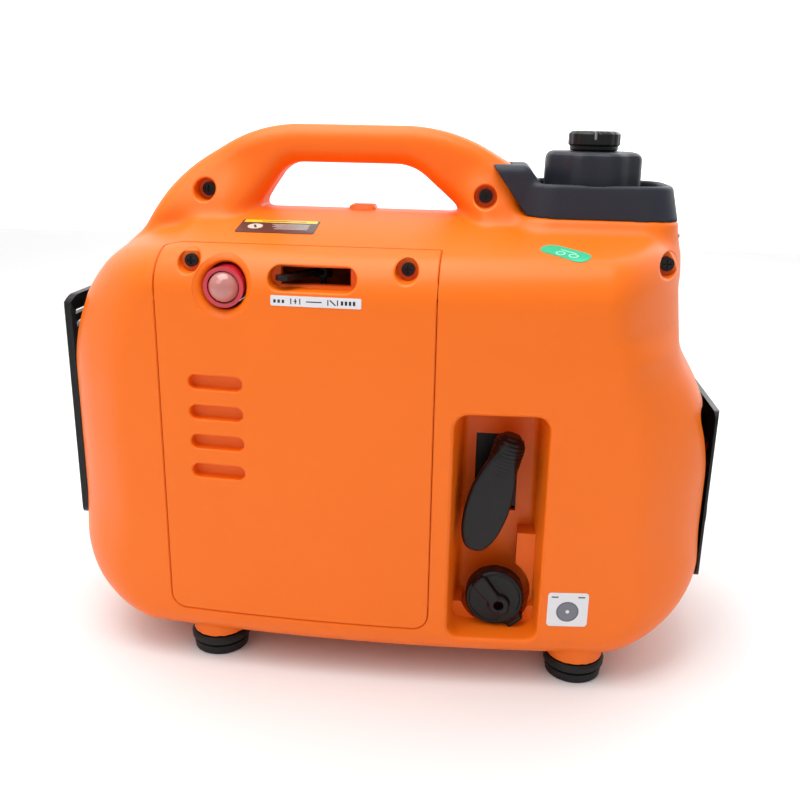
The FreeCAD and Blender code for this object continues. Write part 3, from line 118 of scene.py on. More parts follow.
def case_body(x, y, z):
    """the case without its handle"""
    across = np.abs(y)
    side = across - (HALF_WIDTH - x * x / (2 * SIDE_RADIUS))
    x = x + np.sign(x) * across * across / (2 * END_RADIUS) * ramp(np.abs(x), 110, 190)
    left, right, under = -HALF_LENGTH - x, x - HALF_LENGTH, FLOOR - z
    top = slanted(x, z, *BODY_TOP)
    belly = np.maximum(edge(left, under, LOW_ROUNDS[0]), edge(right, under, LOW_ROUNDS[1]))
    belly = np.maximum(belly, edge(right, top, TOP_ROUNDS[1]))
    belly = np.maximum(belly, edge(left, top, TOP_ROUNDS[0]))
    shoulder = -slanted(x, z, *SHOULDER)
    block = np.maximum(np.maximum(shoulder, -x - 150), DECK - 120 - z)
    outline = melt(belly, block, 6.0)
    round_ends = 20.0 + 25.0 * ramp(np.abs(x), 110, 205) * ramp(z, 30, 110)
    round_ends = round_ends + 20.0 * ramp(z, DECK - 80, DECK - 60) * ramp(x, 60, 140)
    deck = (z - (DECK + 2 - SLOPE * across)) / math.hypot(1, SLOPE)
    deck = soften(deck, z - DECK, 1.0)
    return edge(edge(side, outline, round_ends), deck, 22.0)


def handle_field(x, y, z):
    """the arched handle and its flared feet"""
    rise = slanted(x, z, *HANDLE_LINE[:2])
    knee = slanted(x, z, *HANDLE_LINE[1:])
    fall = slanted(x, z, *HANDLE_FALL)
    outer = soften(soften(rise, knee, 10.0), z - HANDLE_TOP, 14.0)
    outer = edge(soften(outer, fall, 16.0), x - HANDLE_FALL[1][0], 10.0)
    hand_left = slanted(x, z, *HAND_LEFT)
    hand_right = slanted(x, z, *HAND_RIGHT)
    hand = soften(soften(hand_left, z - HAND_LEFT[1][1], 9.0), hand_right, 8.0)
    bar = np.maximum(outer, -hand)
    flare = ramp(DECK + 38 - z, 0, 44) * (ramp(-x, 84, 118) + ramp(x, 34, 62))
    thick = HANDLE_HALF + FLARE * flare
    arch = edge(bar, np.abs(y) - thick, 11.0)
    return np.maximum(arch, DECK - 62 - z)


def case_outside(x, y, z):
    """the whole outside: body, handle, plinth under the collar, door catch and foot bosses"""
    middle, half_length, half_width = PLINTH
    plinth = edge(edge(np.abs(x - middle) - half_length, np.abs(y) - half_width, 22.0),
                  z - DECK - 0.4, 3.0)
    plinth = np.maximum(plinth, DECK - 30 - z)
    middle, half_length, half_width = CATCH
    catch = edge(edge(np.abs(x - middle) - half_length, np.abs(y) - half_width, 2.0),
                 z - DECK - 3.5, 1.0)
    catch = np.maximum(catch, DECK - 10 - z)
    field = melt(melt(case_body(x, y, z), plinth, 12.0), catch, 1.5)
    field = melt(handle_field(x, y, z), field, 8.0)
    for foot_x, foot_y in FEET:
        boss = np.hypot(x - foot_x, y - foot_y) - FOOT_BOSS_R
        boss = np.maximum(edge(boss, 14.0 - z, 1.5), z - 40)
        field = melt(field, boss, 3.0)
    return field


def block_field(x, y, z, low, high):
    """a block between two corners"""
    return np.maximum.reduce([low[0] - x, x - high[0], low[1] - y, y - high[1],
                              low[2] - z, z - high[2]])


def case_inside(x, y, z):
    """the cavity: thicker behind the door, and solid round the starter recess and screws"""
    door = ramp(-y, 70, 84) * ramp(x, -152, -142) * ramp(-x, -50, -40) * ramp(z, 26, 34)
    cavity = case_body(x, y, z) + WALL + 5.5 * door
    cavity = np.maximum(cavity, -block_field(x, y, z, (45, -200, 31), (111, -68.5, 193)))
    cavity = np.maximum(cavity, -block_field(x, y, z, (-132, -200, 250), (31, -94, 330)))
    tower = np.maximum(np.hypot(x - 176, z - 276) - 11, y + 20)
    return np.maximum(cavity, -tower)


def slope_of(field, points, step, axes=(0, 1, 2)):
    """the field's slope at each point, along the chosen axes"""
    return np.stack([(field(*(points + np.eye(3)[k] * step).T)
                      - field(*(points - np.eye(3)[k] * step).T)) / (2 * step) for k in axes], 1)


def net_surface(field, low, high, step):
    """vertices and quads of the field's zero surface, by surface nets, pulled onto the surface"""
    axes = [np.arange(a, b + step, step, dtype=np.float32) for a, b in zip(low, high)]
    grid = np.meshgrid(*axes, indexing="ij")
    values = field(*grid)
    inside = values < 0
    shape = tuple(n - 1 for n in values.shape)
    total = np.zeros(shape + (3,), np.float32)
    count = np.zeros(shape, np.float32)
    base = np.indices(shape).astype(np.float32)
    for axis in range(3):
        others = [a for a in range(3) if a != axis]
        for du in (0, 1):
            for dv in (0, 1):
                start = [slice(0, n) for n in shape]
                start[others[0]] = slice(du, shape[others[0]] + du)
                start[others[1]] = slice(dv, shape[others[1]] + dv)
                end = list(start)
                end[axis] = slice(1, shape[axis] + 1)
                a, b = values[tuple(start)], values[tuple(end)]
                crossed = (a < 0) != (b < 0)
                share = np.where(crossed, a / np.where(crossed, a - b, 1), 0)
                offset = [None, None, None]
                offset[axis] = share
                offset[others[0]] = float(du)
                offset[others[1]] = float(dv)
                for k in range(3):
                    total[..., k] += np.where(crossed, offset[k], 0)
                count += crossed
    used = count > 0
    index = -np.ones(shape, np.int64)
    index[used] = np.arange(used.sum())
    points = np.stack([base[k][used] + total[..., k][used] / count[used] for k in range(3)], 1)
    points = points * step + np.array(low)
    quads = []
    for axis in range(3):
        u, v = (axis + 1) % 3, (axis + 2) % 3
        start = [slice(1, -1)] * 3
        start[axis] = slice(0, -1)
        end = [slice(1, -1)] * 3
        end[axis] = slice(1, None)
        a, b = inside[tuple(start)], inside[tuple(end)]
        for flip in (False, True):
            found = np.argwhere((a & ~b) if not flip else (~a & b))
            found[:, u] += 1
            found[:, v] += 1
            corner = []
            for du, dv in ((1, 1), (0, 1), (0, 0), (1, 0)):
                cell = found.copy()
                cell[:, u] -= du
                cell[:, v] -= dv
                corner.append(index[cell[:, 0], cell[:, 1], cell[:, 2]])
            quad = np.stack(corner, 1)
            quads.append(quad[:, ::-1] if flip else quad)
    quads = np.concatenate(quads)
    for _ in range(3):
        here = field(*points.T)
        slope = slope_of(field, points, 0.4)
        move = slope * (here / np.maximum((slope ** 2).sum(1), 0.05))[:, None]
        points = points - np.clip(move, -step, step)
    return points, quads


def link_mesh(name, points, faces):
    """a mesh object from points in millimetres"""
    mesh = bpy.data.meshes.new(name)
    mesh.from_pydata((np.asarray(points) / 1000).tolist(), [], [list(f) for f in faces])
    mesh.update()
    made = bpy.data.objects.new(name, mesh)
    bpy.context.scene.collection.objects.link(made)
    return made


def outward(made):
    """turns every face of a closed mesh outwards"""
    work = bmesh.new()
    work.from_mesh(made.data)
    bmesh.ops.recalc_face_normals(work, faces=work.faces)
    work.to_mesh(made.data)
    work.free()
    return made


def apply_modifiers(made):
    """makes the modifiers part of the mesh"""
    with bpy.context.temp_override(object=made, active_object=made):
        for modifier in list(made.modifiers):
            bpy.ops.object.modifier_apply(modifier=modifier.name)


def combine(made, other, operation):
    """cuts made with the closed mesh other, which is used up"""
    modifier = made.modifiers.new("combine", "BOOLEAN")
    modifier.operation = operation
    modifier.solver = "MANIFOLD"
    modifier.object = other
    apply_modifiers(made)
    bpy.data.objects.remove(other)


def copy_of(made, name):
    """a second object with a mesh of its own"""
    twin = made.copy()
    twin.data = made.data.copy()
    twin.name = name
    bpy.context.scene.collection.objects.link(twin)
    return twin


def stack(name, rings):
    """a closed mesh through rings of points, capped at both ends"""
    count = len(rings[0])
    faces = [(k * count + i, k * count + (i + 1) % count,
              (k + 1) * count + (i + 1) % count, (k + 1) * count + i)
             for k in range(len(rings) - 1) for i in range(count)]
    faces.append(tuple(range(count)))
    faces.append(tuple(range((len(rings) - 1) * count, len(rings) * count)))
    return outward(link_mesh(name, np.concatenate(rings), faces))


def rounded(centre, half_u, half_v, radius, grow=0.0):
    """points round a rounded rectangle; grow moves them straight out"""
    points = []
    for i, (side_u, side_v) in enumerate(((1, 1), (-1, 1), (-1, -1), (1, -1))):
        straight = 2 * ((half_v, half_u)[(i + 1) % 2] - radius)
        middle = Vector((centre[0] + side_u * (half_u - radius),
                         centre[1] + side_v * (half_v - radius)))
        for step in range(9):
            angle = math.radians(90 * i + 90 * step / 8)
            points.append(middle + (radius + grow) * Vector((math.cos(angle), math.sin(angle))))
        pieces = max(1, int(straight / 5))
        run = Vector((math.cos(math.radians(90 * i + 180)), math.sin(math.radians(90 * i + 180))))
        for step in range(1, pieces):
            points.append(points[-1] + run * (straight / pieces))
    return np.array(points)


AXES = {"x": (1, 2, 0), "y": (0, 2, 1)}   # across, up, depth


def place(axis, across, up, depth):
    """points from their place across, up and along the axis that a pocket is sunk in"""
    points = np.zeros((len(across), 3))
    for values, column in zip((across, up, depth), AXES[axis]):
        points[:, column] = values
    return points


def skin_at(axis, sign, across, up):
    """how far out along an axis the case's skin lies"""
    reach = {"x": HALF_LENGTH, "y": HALF_WIDTH}[axis] + 3
    steps = np.linspace(reach, 0, 90)
    found = np.full(len(across), 0.0)
    hit = np.zeros(len(across), bool)
    last = np.full(len(across), reach)
    for depth in steps:
        inside = case_outside(*place(axis, across, up, np.full(len(across), sign * depth)).T) < 0
        fresh = inside & ~hit
        found[fresh] = depth
        hit |= inside
        last[~hit] = depth
    low, high = found.copy(), last.copy()
    for _ in range(14):
        middle = (low + high) / 2
        inside = case_outside(*place(axis, across, up, sign * middle).T) < 0
        low = np.where(inside, middle, low)
        high = np.where(inside, high, middle)
    return low


def pocket(axis, sign, outline, lip, deep=None, level=None, draft=0.0, floor_round=0.8):
    """a cutter that sinks a hollow with a rounded lip: deep is measured from the skin at each
    point, level is the distance from the middle of the case"""
    reach = {"x": HALF_LENGTH, "y": HALF_WIDTH}[axis] + 12

    def ring(grow, depth_in=None, fixed=None):
        across, up = outline(grow).T
        if fixed is None:
            out = skin_at(axis, sign, across, up) - depth_in
        else:
            out = np.full(len(across), fixed)
        return place(axis, across, up, sign * out)

    start = math.radians(15)
    rings = [ring(lip * (1 - math.sin(start)), fixed=reach)]
    for step in range(5):
        angle = start + (math.pi / 2 - start) * step / 4
        rings.append(ring(lip * (1 - math.sin(angle)), depth_in=lip * (1 - math.cos(angle))))
    for step in range(4):
        angle = math.pi / 2 * step / 3
        grow = -draft - floor_round * (1 - math.cos(angle))
        rise = floor_round * (1 - math.sin(angle))
        if level is None:
            rings.append(ring(grow, depth_in=deep - rise))
        else:
            rings.append(ring(grow, fixed=level + rise))
    return stack("pocket", rings)


def slab(low, high):
    """a plain box for cutting"""
    rings = [[(low[0], low[1], z), (high[0], low[1], z), (high[0], high[1], z), (low[0], high[1], z)]
             for z in (low[2], high[2])]
    return stack("slab", rings)


def joined(pieces):
    """separate cutters as one object"""
    bpy.ops.object.select_all(action="DESELECT")
    for piece in pieces:
        piece.select_set(True)
    bpy.context.view_layer.objects.active = pieces[0]
    bpy.ops.object.join()
    bpy.ops.object.select_all(action="DESELECT")
    return pieces[0]


def rod(start, end, radius, sides=48):
    """a plain round bar for cutting, between two points in millimetres"""
    start, end = Vector(start), Vector(end)
    turn = (end - start).to_track_quat("Z", "Y")
    rings = [[middle + turn @ Vector((radius * math.cos(2 * math.pi * i / sides),
                                      radius * math.sin(2 * math.pi * i / sides), 0))
              for i in range(sides)] for middle in (start, end)]
    return stack("rod", rings)


def groove(points, radius):
    """a round cutter that follows a closed path on the skin"""
    count, sides = len(points), 8
    rings = []
    for i, here in enumerate(points):
        ahead = Vector(points[(i + 1) % count]) - Vector(points[i - 1])
        turn = ahead.to_track_quat("Z", "Y")
        rings.append([Vector(here) + turn @ Vector((radius * math.cos(2 * math.pi * k / sides),
                                                    radius * math.sin(2 * math.pi * k / sides), 0))
                      for k in range(sides)])
    faces = [(i * sides + k, i * sides + (k + 1) % sides,
              (i + 1) % count * sides + (k + 1) % sides, (i + 1) % count * sides + k)
             for i in range(count) for k in range(sides)]
    return outward(link_mesh("groove", np.concatenate(rings), faces))


coarse = 1.0
span_low = (-HALF_LENGTH - 6.3, -HALF_WIDTH - 6.7, 6.1)
span_high = (HALF_LENGTH + 6, HALF_WIDTH + 6, HANDLE_TOP + 6)
outer_points, outer_quads = net_surface(case_outside, span_low, span_high, 2.4 * coarse)
inner_points, inner_quads = net_surface(case_inside, span_low, span_high, 5.0)
skin = link_mesh("skin", np.concatenate([outer_points, inner_points]),
                 np.concatenate([outer_quads, inner_quads[:, ::-1] + len(outer_points)]))

# sizes of what is sunk into the case
SEAM = 0.25
DOOR_X = (-138.0, 36.0)
DOOR_FLOOR = 41.0
DOOR_TOP_Y = 84.0
DOOR_GAP = 0.45
RECESS_X = (49.0, 107.0)
RECESS_Z = (35.5, 189.0)
RECESS_DEEP = 72.0
PANEL_Z = (66.0, 184.0)
LOUVRE_Z = (84.0, 244.0)
END_HALF = 68.0
FILLER = (130.0, 24.4)
HANDLE_SCREWS = ((-130.0, 312.0), (60.0, 312.0))
SHOULDER_SCREW = (176.0, 276.0)
DOOR_SCREWS = ((-117.0, 275.0), (17.0, 274.0))
VENT_TOP = (-101.0, 201.0)
VENT_PITCH = 19.7
VENT_COUNT = 4
VENT_DEEP = 7.6
CHOKE_SLOT = (-39.0, 268.0)
CHOKE_WINDOW = (21.5, 5.5)      # half length and half height
CHOKE_POCKET = (27.0, 7.2)
PRIMER = (-94.0, 261.0)
PRIMER_HOLE_R = 14.0
COCK = (79.0, 58.0)
COCK_ROOM_R = 23.5
ROPE_WINDOW = ((62, -80, 110), (90, -60, 164))
DOOR_HEAD = 430                 # the door's cutter runs up past the handle
SCREW_HOLE_R = 7.5


def door_outline(grow):
    """the door in side view; its head runs far above the deck"""
    middle = (sum(DOOR_X) / 2, (DOOR_FLOOR + DOOR_HEAD) / 2)
    return rounded(middle, (DOOR_X[1] - DOOR_X[0]) / 2, (DOOR_HEAD - DOOR_FLOOR) / 2, 10.0, grow)


def door_prism(grow):
    """the space that the door takes, in from the near side to the edge along the deck"""
    across, up = door_outline(grow).T
    rings = [place("y", across, up, np.full(len(across), depth))
             for depth in (-HALF_WIDTH - 20, -DOOR_TOP_Y + grow)]
    return stack("door prism", rings)


def round_hole(place_xz, radius, lip, level):
    """a round hollow in the near side, down to a level"""
    return pocket("y", -1, lambda grow: rounded(place_xz, radius, radius, radius - 0.01, grow),
                  lip, level=level)


def vents(side):
    """four blind round-ended slots, one above another"""
    made = []
    for i in range(VENT_COUNT):
        middle = (VENT_TOP[0], VENT_TOP[1] - i * VENT_PITCH)
        made.append(pocket("y", side, lambda grow: rounded(middle, 17.5, 4.6, 4.59, grow),
                           1.5, deep=VENT_DEEP, floor_round=0.5))
    return made


def end_opening(sign, heights):
    """the opening in one end for the control panel or the louvre"""
    middle = (0.0, sum(heights) / 2)
    half = (heights[1] - heights[0]) / 2
    return pocket("x", sign, lambda grow: rounded(middle, END_HALF, half, 8.0, grow),
                  1.5, level=150.0)


def starter_recess():
    """the drafted recess, with two ledges that the fuel cock's knob turns between"""
    middle = (sum(RECESS_X) / 2, sum(RECESS_Z) / 2)
    half = ((RECESS_X[1] - RECESS_X[0]) / 2, (RECESS_Z[1] - RECESS_Z[0]) / 2)
    hollow = pocket("y", -1, lambda grow: rounded(middle, *half, 9.0, grow),
                    3.2, level=RECESS_DEEP, draft=4.5, floor_round=3.0)
    for low, high in (((40, -92, 20), (116, -60, 50)), ((92, -86, 20), (116, -60, 100))):
        ledge = slab(low, high)
        around = rod((COCK[0], -130, COCK[1]), (COCK[0], -50, COCK[1]), COCK_ROOM_R, 96)
        combine(ledge, around, "DIFFERENCE")
        combine(hollow, ledge, "DIFFERENCE")
    return hollow


def settle(points, free):
    """points moved onto the skin along the free axes only"""
    points = np.array(points, float)
    for _ in range(25):
        here = case_outside(*points.T)
        slope = slope_of(case_outside, points, 0.3, free)
        move = slope * (here / np.maximum((slope ** 2).sum(1), 0.05))[:, None]
        for column, k in enumerate(free):
            points[:, k] -= np.clip(move[:, column], -3, 3)
    return points


def door_seam():
    """a round groove on the skin, along the line where the door meets the case"""
    reach = -HALF_WIDTH
    bottom = door_outline(DOOR_GAP / 2)
    bottom = bottom[bottom[:, 1] < DOOR_FLOOR + 10]
    bottom = place("y", *bottom.T, np.full(len(bottom), reach))
    rise = np.arange(DOOR_FLOOR + 12, 258, 3.0)
    edge_x = (DOOR_X[0] - DOOR_GAP / 2, DOOR_X[1] + DOOR_GAP / 2)
    sides, corners = [], []
    for x in edge_x:
        sides.append(settle(place("y", np.full(len(rise), x), rise, np.full(len(rise), reach)), (1,)))
        turn = np.linspace(0, 1, 12)[2:-1]
        across = -DOOR_TOP_Y - 26 * (1 - turn)
        corners.append(settle(np.stack([np.full(9, x), across, 262 + 24 * turn], 1), (1, 2)))
    along = np.arange(edge_x[0] + 2, edge_x[1] - 1, 3.0)
    top = settle(np.stack([along, np.full(len(along), -DOOR_TOP_Y + DOOR_GAP / 2),
                           np.full(len(along), DECK)], 1), (2,))
    path = np.concatenate([settle(bottom, (1,)), sides[1], corners[1], top[::-1],
                           corners[0][::-1], sides[0][::-1]])
    return groove(path, 0.8)


far_shell = copy_of(skin, "far_half")
combine(far_shell, slab((-300, SEAM, -50), (300, 200, 450)), "INTERSECT")
near_shell = copy_of(skin, "near_half")
combine(near_shell, slab((-300, -200, -50), (300, -SEAM, 450)), "INTERSECT")
door = copy_of(near_shell, "door_panel")
bpy.data.objects.remove(skin)

near_cuts = [starter_recess(), end_opening(1, PANEL_Z), end_opening(-1, LOUVRE_Z),
             rod((FILLER[0], 0, 270), (FILLER[0], 0, 330), FILLER[1]),
             round_hole(SHOULDER_SCREW, SCREW_HOLE_R, 1.6, 50.0)]
near_cuts += [round_hole(xz, SCREW_HOLE_R, 1.8, 14.0) for xz in HANDLE_SCREWS]
combine(near_shell, joined(near_cuts), "DIFFERENCE")
combine(near_shell, slab(*ROPE_WINDOW), "DIFFERENCE")
combine(near_shell, door_prism(DOOR_GAP), "DIFFERENCE")
combine(near_shell, door_seam(), "DIFFERENCE")

far_cuts = [end_opening(1, PANEL_Z), end_opening(-1, LOUVRE_Z),
            rod((FILLER[0], 0, 270), (FILLER[0], 0, 330), FILLER[1])]
combine(far_shell, joined(far_cuts + vents(1)), "DIFFERENCE")

combine(door, door_prism(0.0), "INTERSECT")
door_cuts = vents(-1) + [round_hole(xz, 7.0, 1.6, 96.0) for xz in DOOR_SCREWS]
door_cuts.append(pocket("y", -1, lambda grow: rounded(CHOKE_SLOT, *CHOKE_POCKET, 7.19, grow),
                        1.2, level=100.0, floor_round=0.6))
door_cuts.append(pocket("y", -1, lambda grow: rounded(PRIMER, PRIMER_HOLE_R, PRIMER_HOLE_R, 13.99, grow),
                        7.0, level=88.0))
combine(door, joined(door_cuts), "DIFFERENCE")
half_x, half_z = CHOKE_WINDOW
combine(door, slab((CHOKE_SLOT[0] - half_x, -130, CHOKE_SLOT[1] - half_z),
                   (CHOKE_SLOT[0] + half_x, -60, CHOKE_SLOT[1] + half_z)), "DIFFERENCE")
combine(door, door_seam(), "DIFFERENCE")


def smooth(made, degrees=32):
    """smooth shading, with edges sharper than the angle left crisp"""
    bpy.ops.object.select_all(action="DESELECT")
    made.select_set(True)
    bpy.context.view_layer.objects.active = made
    bpy.ops.object.shade_smooth_by_angle(angle=math.radians(degrees))
    bpy.ops.object.select_all(action="DESELECT")


# ---------------------------------------------------------------------------
# What the pieces are made of: moulded plastics and rubbers with a fine grain, and bare,
# cast or painted metals.  The engine and the other hidden pieces keep their CAD shapes.
# ---------------------------------------------------------------------------

class Wire:
    """a shader socket that takes part in Python arithmetic"""

    def __init__(self, tree, socket):
        self.tree = tree
        self.socket = socket

    def node(self, kind, out=0, settings=None, **inputs):
        """a new node of that kind; inputs name its sockets, with _ for a space"""
        made = self.tree.nodes.new(kind)
        for key, value in (settings or {}).items():
            setattr(made, key, value)
        for key, value in inputs.items():
            name = int(key[1:]) if key[0] == "i" and key[1:].isdigit() else key.replace("_", " ")
            if isinstance(value, Wire):
                self.tree.links.new(value.socket, made.inputs[name])
            else:
                made.inputs[name].default_value = value
        return Wire(self.tree, made.outputs[out])

    def maths(self, operation, other=0.0):
        return self.node("ShaderNodeMath", settings={"operation": operation}, i0=self, i1=other)

    def __add__(self, other):
        return self.maths("ADD", other)

    def __sub__(self, other):
        return self.maths("SUBTRACT", other)

    def __rsub__(self, other):
        return self * -1.0 + other

    def __mul__(self, other):
        return self.maths("MULTIPLY", other)

    __radd__ = __add__
    __rmul__ = __mul__

    def clamped(self, low, high, to_low=0.0, to_high=1.0):
        return self.node("ShaderNodeMapRange", i0=self, i1=low, i2=high, i3=to_low, i4=to_high)


def srgb(red, green, blue):
    """linear colour from 0-255 display values"""
    def linear(value):
        value /= 255.0
        return value / 12.92 if value <= 0.04045 else ((value + 0.055) / 1.055) ** 2.4
    return (linear(red), linear(green), linear(blue), 1.0)


def new_material(name, colour, roughness, metallic=0.0, coat=0.0):
    """a principled material; returns it with a wire at the object coordinates and its shader"""
    material = bpy.data.materials.new(name)
    material.use_nodes = True
    tree = material.node_tree
    shader = tree.nodes["Principled BSDF"]
    shader.inputs["Base Color"].default_value = colour
    shader.inputs["Roughness"].default_value = roughness
    shader.inputs["Metallic"].default_value = metallic
    shader.inputs["Coat Weight"].default_value = coat
    shader.inputs["Specular IOR Level"].default_value = 0.32
    place = tree.nodes.new("ShaderNodeTexCoord")
    return material, Wire(tree, place.outputs["Object"]), shader


def moulded(name, colour, roughness, grain_mm, depth, mottle=0.06, coat=0.0):
    """moulded plastic or rubber: a fine grain in its surface and a faint change of tone"""
    material, place, shader = new_material(name, colour, roughness, coat=coat)
    links = material.node_tree.links
    grain = place.node("ShaderNodeTexNoise", Vector=place, Scale=1000.0 / grain_mm, Detail=2.0)
    broad = place.node("ShaderNodeTexNoise", Vector=place, Scale=14.0, Detail=3.0)
    bump = place.node("ShaderNodeBump", Height=grain, Strength=depth, Distance=0.0002)
    links.new(bump.socket, shader.inputs["Normal"])
    rough = grain.clamped(0.3, 0.7, roughness - 0.05, roughness + 0.05)
    rough = rough + broad.clamped(0.3, 0.7, -0.03, 0.04)
    links.new(rough.socket, shader.inputs["Roughness"])
    darker = tuple(c * (1 - mottle) for c in colour[:3]) + (1.0,)
    tone = place.node("ShaderNodeMix", out=2, settings={"data_type": "RGBA"},
                      Factor=broad.clamped(0.35, 0.65), i6=colour, i7=darker)
    links.new(tone.socket, shader.inputs["Base Color"])
    return material


def metal(name, colour, roughness, cast_mm=0.0, streak=(1.0, 1.0, 1.0)):
    """bare metal: brushed along one axis, or with a cast skin"""
    material, place, shader = new_material(name, colour, roughness, metallic=1.0)
    links = material.node_tree.links
    stretched = place.node("ShaderNodeMapping", Vector=place, Scale=streak)
    fine = place.node("ShaderNodeTexNoise", Vector=stretched, Scale=400.0, Detail=4.0)
    rough = fine.clamped(0.3, 0.7, roughness - 0.08, roughness + 0.1)
    links.new(rough.socket, shader.inputs["Roughness"])
    if cast_mm:
        skin = place.node("ShaderNodeTexNoise", Vector=place, Scale=1000.0 / cast_mm, Detail=3.0)
        bump = place.node("ShaderNodeBump", Height=skin, Strength=0.5, Distance=0.0003)
        links.new(bump.socket, shader.inputs["Normal"])
    return material


ORANGE = moulded("case_orange", (0.90, 0.162, 0.004, 1.0), 0.40, 0.55, 0.10, mottle=0.015)
BLACK = moulded("black_plastic", srgb(13, 11, 13), 0.40, 0.5, 0.2)
COLLAR = moulded("collar_plastic", srgb(37, 39, 50), 0.5, 0.8, 0.5)
CAP = moulded("cap_plastic", srgb(33, 34, 44), 0.45, 0.8, 0.35)
GRIP = moulded("grip_rubber", srgb(14, 11, 13), 0.38, 0.7, 0.25)
RUBBER = moulded("rubber", srgb(18, 17, 18), 0.55, 0.6, 0.25)
RED = moulded("red_plastic", srgb(214, 38, 52), 0.3, 0.8, 0.05)
INNER = moulded("inner_plastic", srgb(48, 48, 50), 0.5, 0.8, 0.2)
FOAM = moulded("foam", srgb(60, 60, 62), 0.95, 1.4, 1.0)
ZINC = metal("zinc_steel", (0.62, 0.63, 0.64, 1.0), 0.32, streak=(1.0, 8.0, 1.0))
CAST = metal("cast_aluminium", (0.62, 0.62, 0.63, 1.0), 0.45, cast_mm=1.2)
STEEL = metal("machined_steel", (0.42, 0.42, 0.43, 1.0), 0.3, streak=(8.0, 1.0, 1.0))
COPPER = metal("copper_wire", (0.75, 0.36, 0.18, 1.0), 0.3, streak=(1.0, 12.0, 12.0))
BRASS = metal("brass", (0.80, 0.58, 0.26, 1.0), 0.28)
EXHAUST = metal("exhaust_paint", (0.16, 0.15, 0.145, 1.0), 0.6, cast_mm=0.9)

SHELL_PIECES = ((near_shell, "near_shell", "case"), (far_shell, "far_shell", "case"),
                (door, "service_door", "door"))
NODE_MATERIALS = {
    ORANGE: ["near_shell", "far_shell", "service_door"],
    BLACK: ["control_panel", "exhaust_louvre", "cap_vent_knob", "choke_lever", "fuel_cock_knob",
            "rope_guide", "plug_cap", "oil_cap", "engine_switch", "eco_switch", "dc_socket",
            "ac_socket", "recoil_pulley", "shell_screws", "door_screws", "starter_grip",
            "ignition_coil"],
    COLLAR: ["tank_collar"],
    CAP: ["fuel_cap"],
    RUBBER: ["rubber_feet", "engine_mounts", "cap_gasket", "fuel_hose"],
    INNER: ["air_filter_box", "cooling_fan", "fan_shroud", "fuel_tank", "starter_rope",
            "rope_coil"],
    FOAM: ["filter_element"],
    ZINC: ["foot_screws", "base_plate", "recoil_housing", "recoil_spring", "spark_plug",
           "throttle_valve", "choke_plate", "crank_bearings"],
    STEEL: ["crankshaft", "rotor", "stator_core"],
    CAST: ["crankcase", "cylinder_barrel", "cylinder_head", "piston", "carburettor",
           "fuel_cock_body", "inverter_module"],
    COPPER: ["stator_coils"],
    BRASS: ["earth_terminal"],
    EXHAUST: ["muffler"],
    RED: ["primer_base", "breaker_button", "primer_bulb", "indicator_lamps", "choke_label",
          "case_labels"],
}
for material, names in NODE_MATERIALS.items():
    for name in names:
        nodes[name].data.materials.clear()
        nodes[name].data.materials.append(material)

for piece, node, body in SHELL_PIECES:
    smooth(piece)
    piece.data.materials.clear()
    piece.data.materials.append(ORANGE)
    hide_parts(node)
    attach(piece, body)

# ---------------------------------------------------------------------------
# The dished surround of the filler: a black moulding that sits on the deck, with a
# wing that climbs the foot of the handle.  Softer shapes like this one are meshed
# from a distance field too.
# ---------------------------------------------------------------------------

collar_low, collar_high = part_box("tank_collar")
cap_low, cap_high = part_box("fuel_cap")
FILLER_X = (cap_low.x + cap_high.x) * 500
CAP_R = (cap_high.x - cap_low.x) * 500
RIM_Z = collar_high.z * 1000 - 11


def collar_field(x, y, z):
    """a bowl on the deck with a dished rim, a wing, and a well round the cap"""
    lean = (RIM_Z - z) * (0.12 + 0.08 * ramp(x, 150, 185))
    middle = (collar_low.x + collar_high.x) * 500 + 3
    half_x = (collar_high.x - collar_low.x) * 500 - 7
    plan = edge(np.abs(x - middle) - half_x - lean, np.abs(y) - 39.5 - lean, 25.0)
    bowl = edge(plan, z - RIM_Z, 2.5)
    dish = np.maximum(plan + lean + 5.0, RIM_Z - 6 - z)
    bowl = soften(bowl, -dish, 2.0)
    top = RIM_Z + 11
    climb = soften(x - 87 - (top - z) * 0.7, z - top, 3.0)
    wing = edge(climb, np.abs(y) - 33, 6.0)
    wing = np.maximum(wing, DECK - 10 - z)
    field = np.maximum(melt(bowl, wing, 4.0), DECK - 11 - z)
    field = soften(field, (64 + (top - z) * 0.73 - x) * 0.8, 1.0)
    well = np.hypot(x - FILLER_X, y) - CAP_R - 4
    field = soften(field, -np.maximum(well, RIM_Z - 14 - z), 1.5)
    field = np.maximum(field, 24.4 - np.hypot(x - FILLER_X, y))
    return np.maximum(field, 0.3 - case_outside(x, y, z))


def soft_piece(name, field, low, high, step, material, node, body):
    """a piece meshed from its field, that stands for one CAD node"""
    points, quads = net_surface(field, low, high, step * coarse)
    made = link_mesh(name, points, quads)
    made.data.materials.append(material)
    smooth(made, 40)
    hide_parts(node)
    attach(made, body)
    return made


soft_piece("filler_surround", collar_field, (58.3, -50.2, 284.1), (198, 50, 338), 1.1, COLLAR,
           "tank_collar", "case")

# ---------------------------------------------------------------------------
# The starter grip: a stout black oval bar across the rope's end, flat in front, with
# fine ribs round its head.  It leans a little in its recess.
# ---------------------------------------------------------------------------

grip_low, grip_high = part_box("starter_grip")
GRIP_MIDDLE = (grip_low + grip_high) * 500
GRIP_LEAN = math.radians(15)


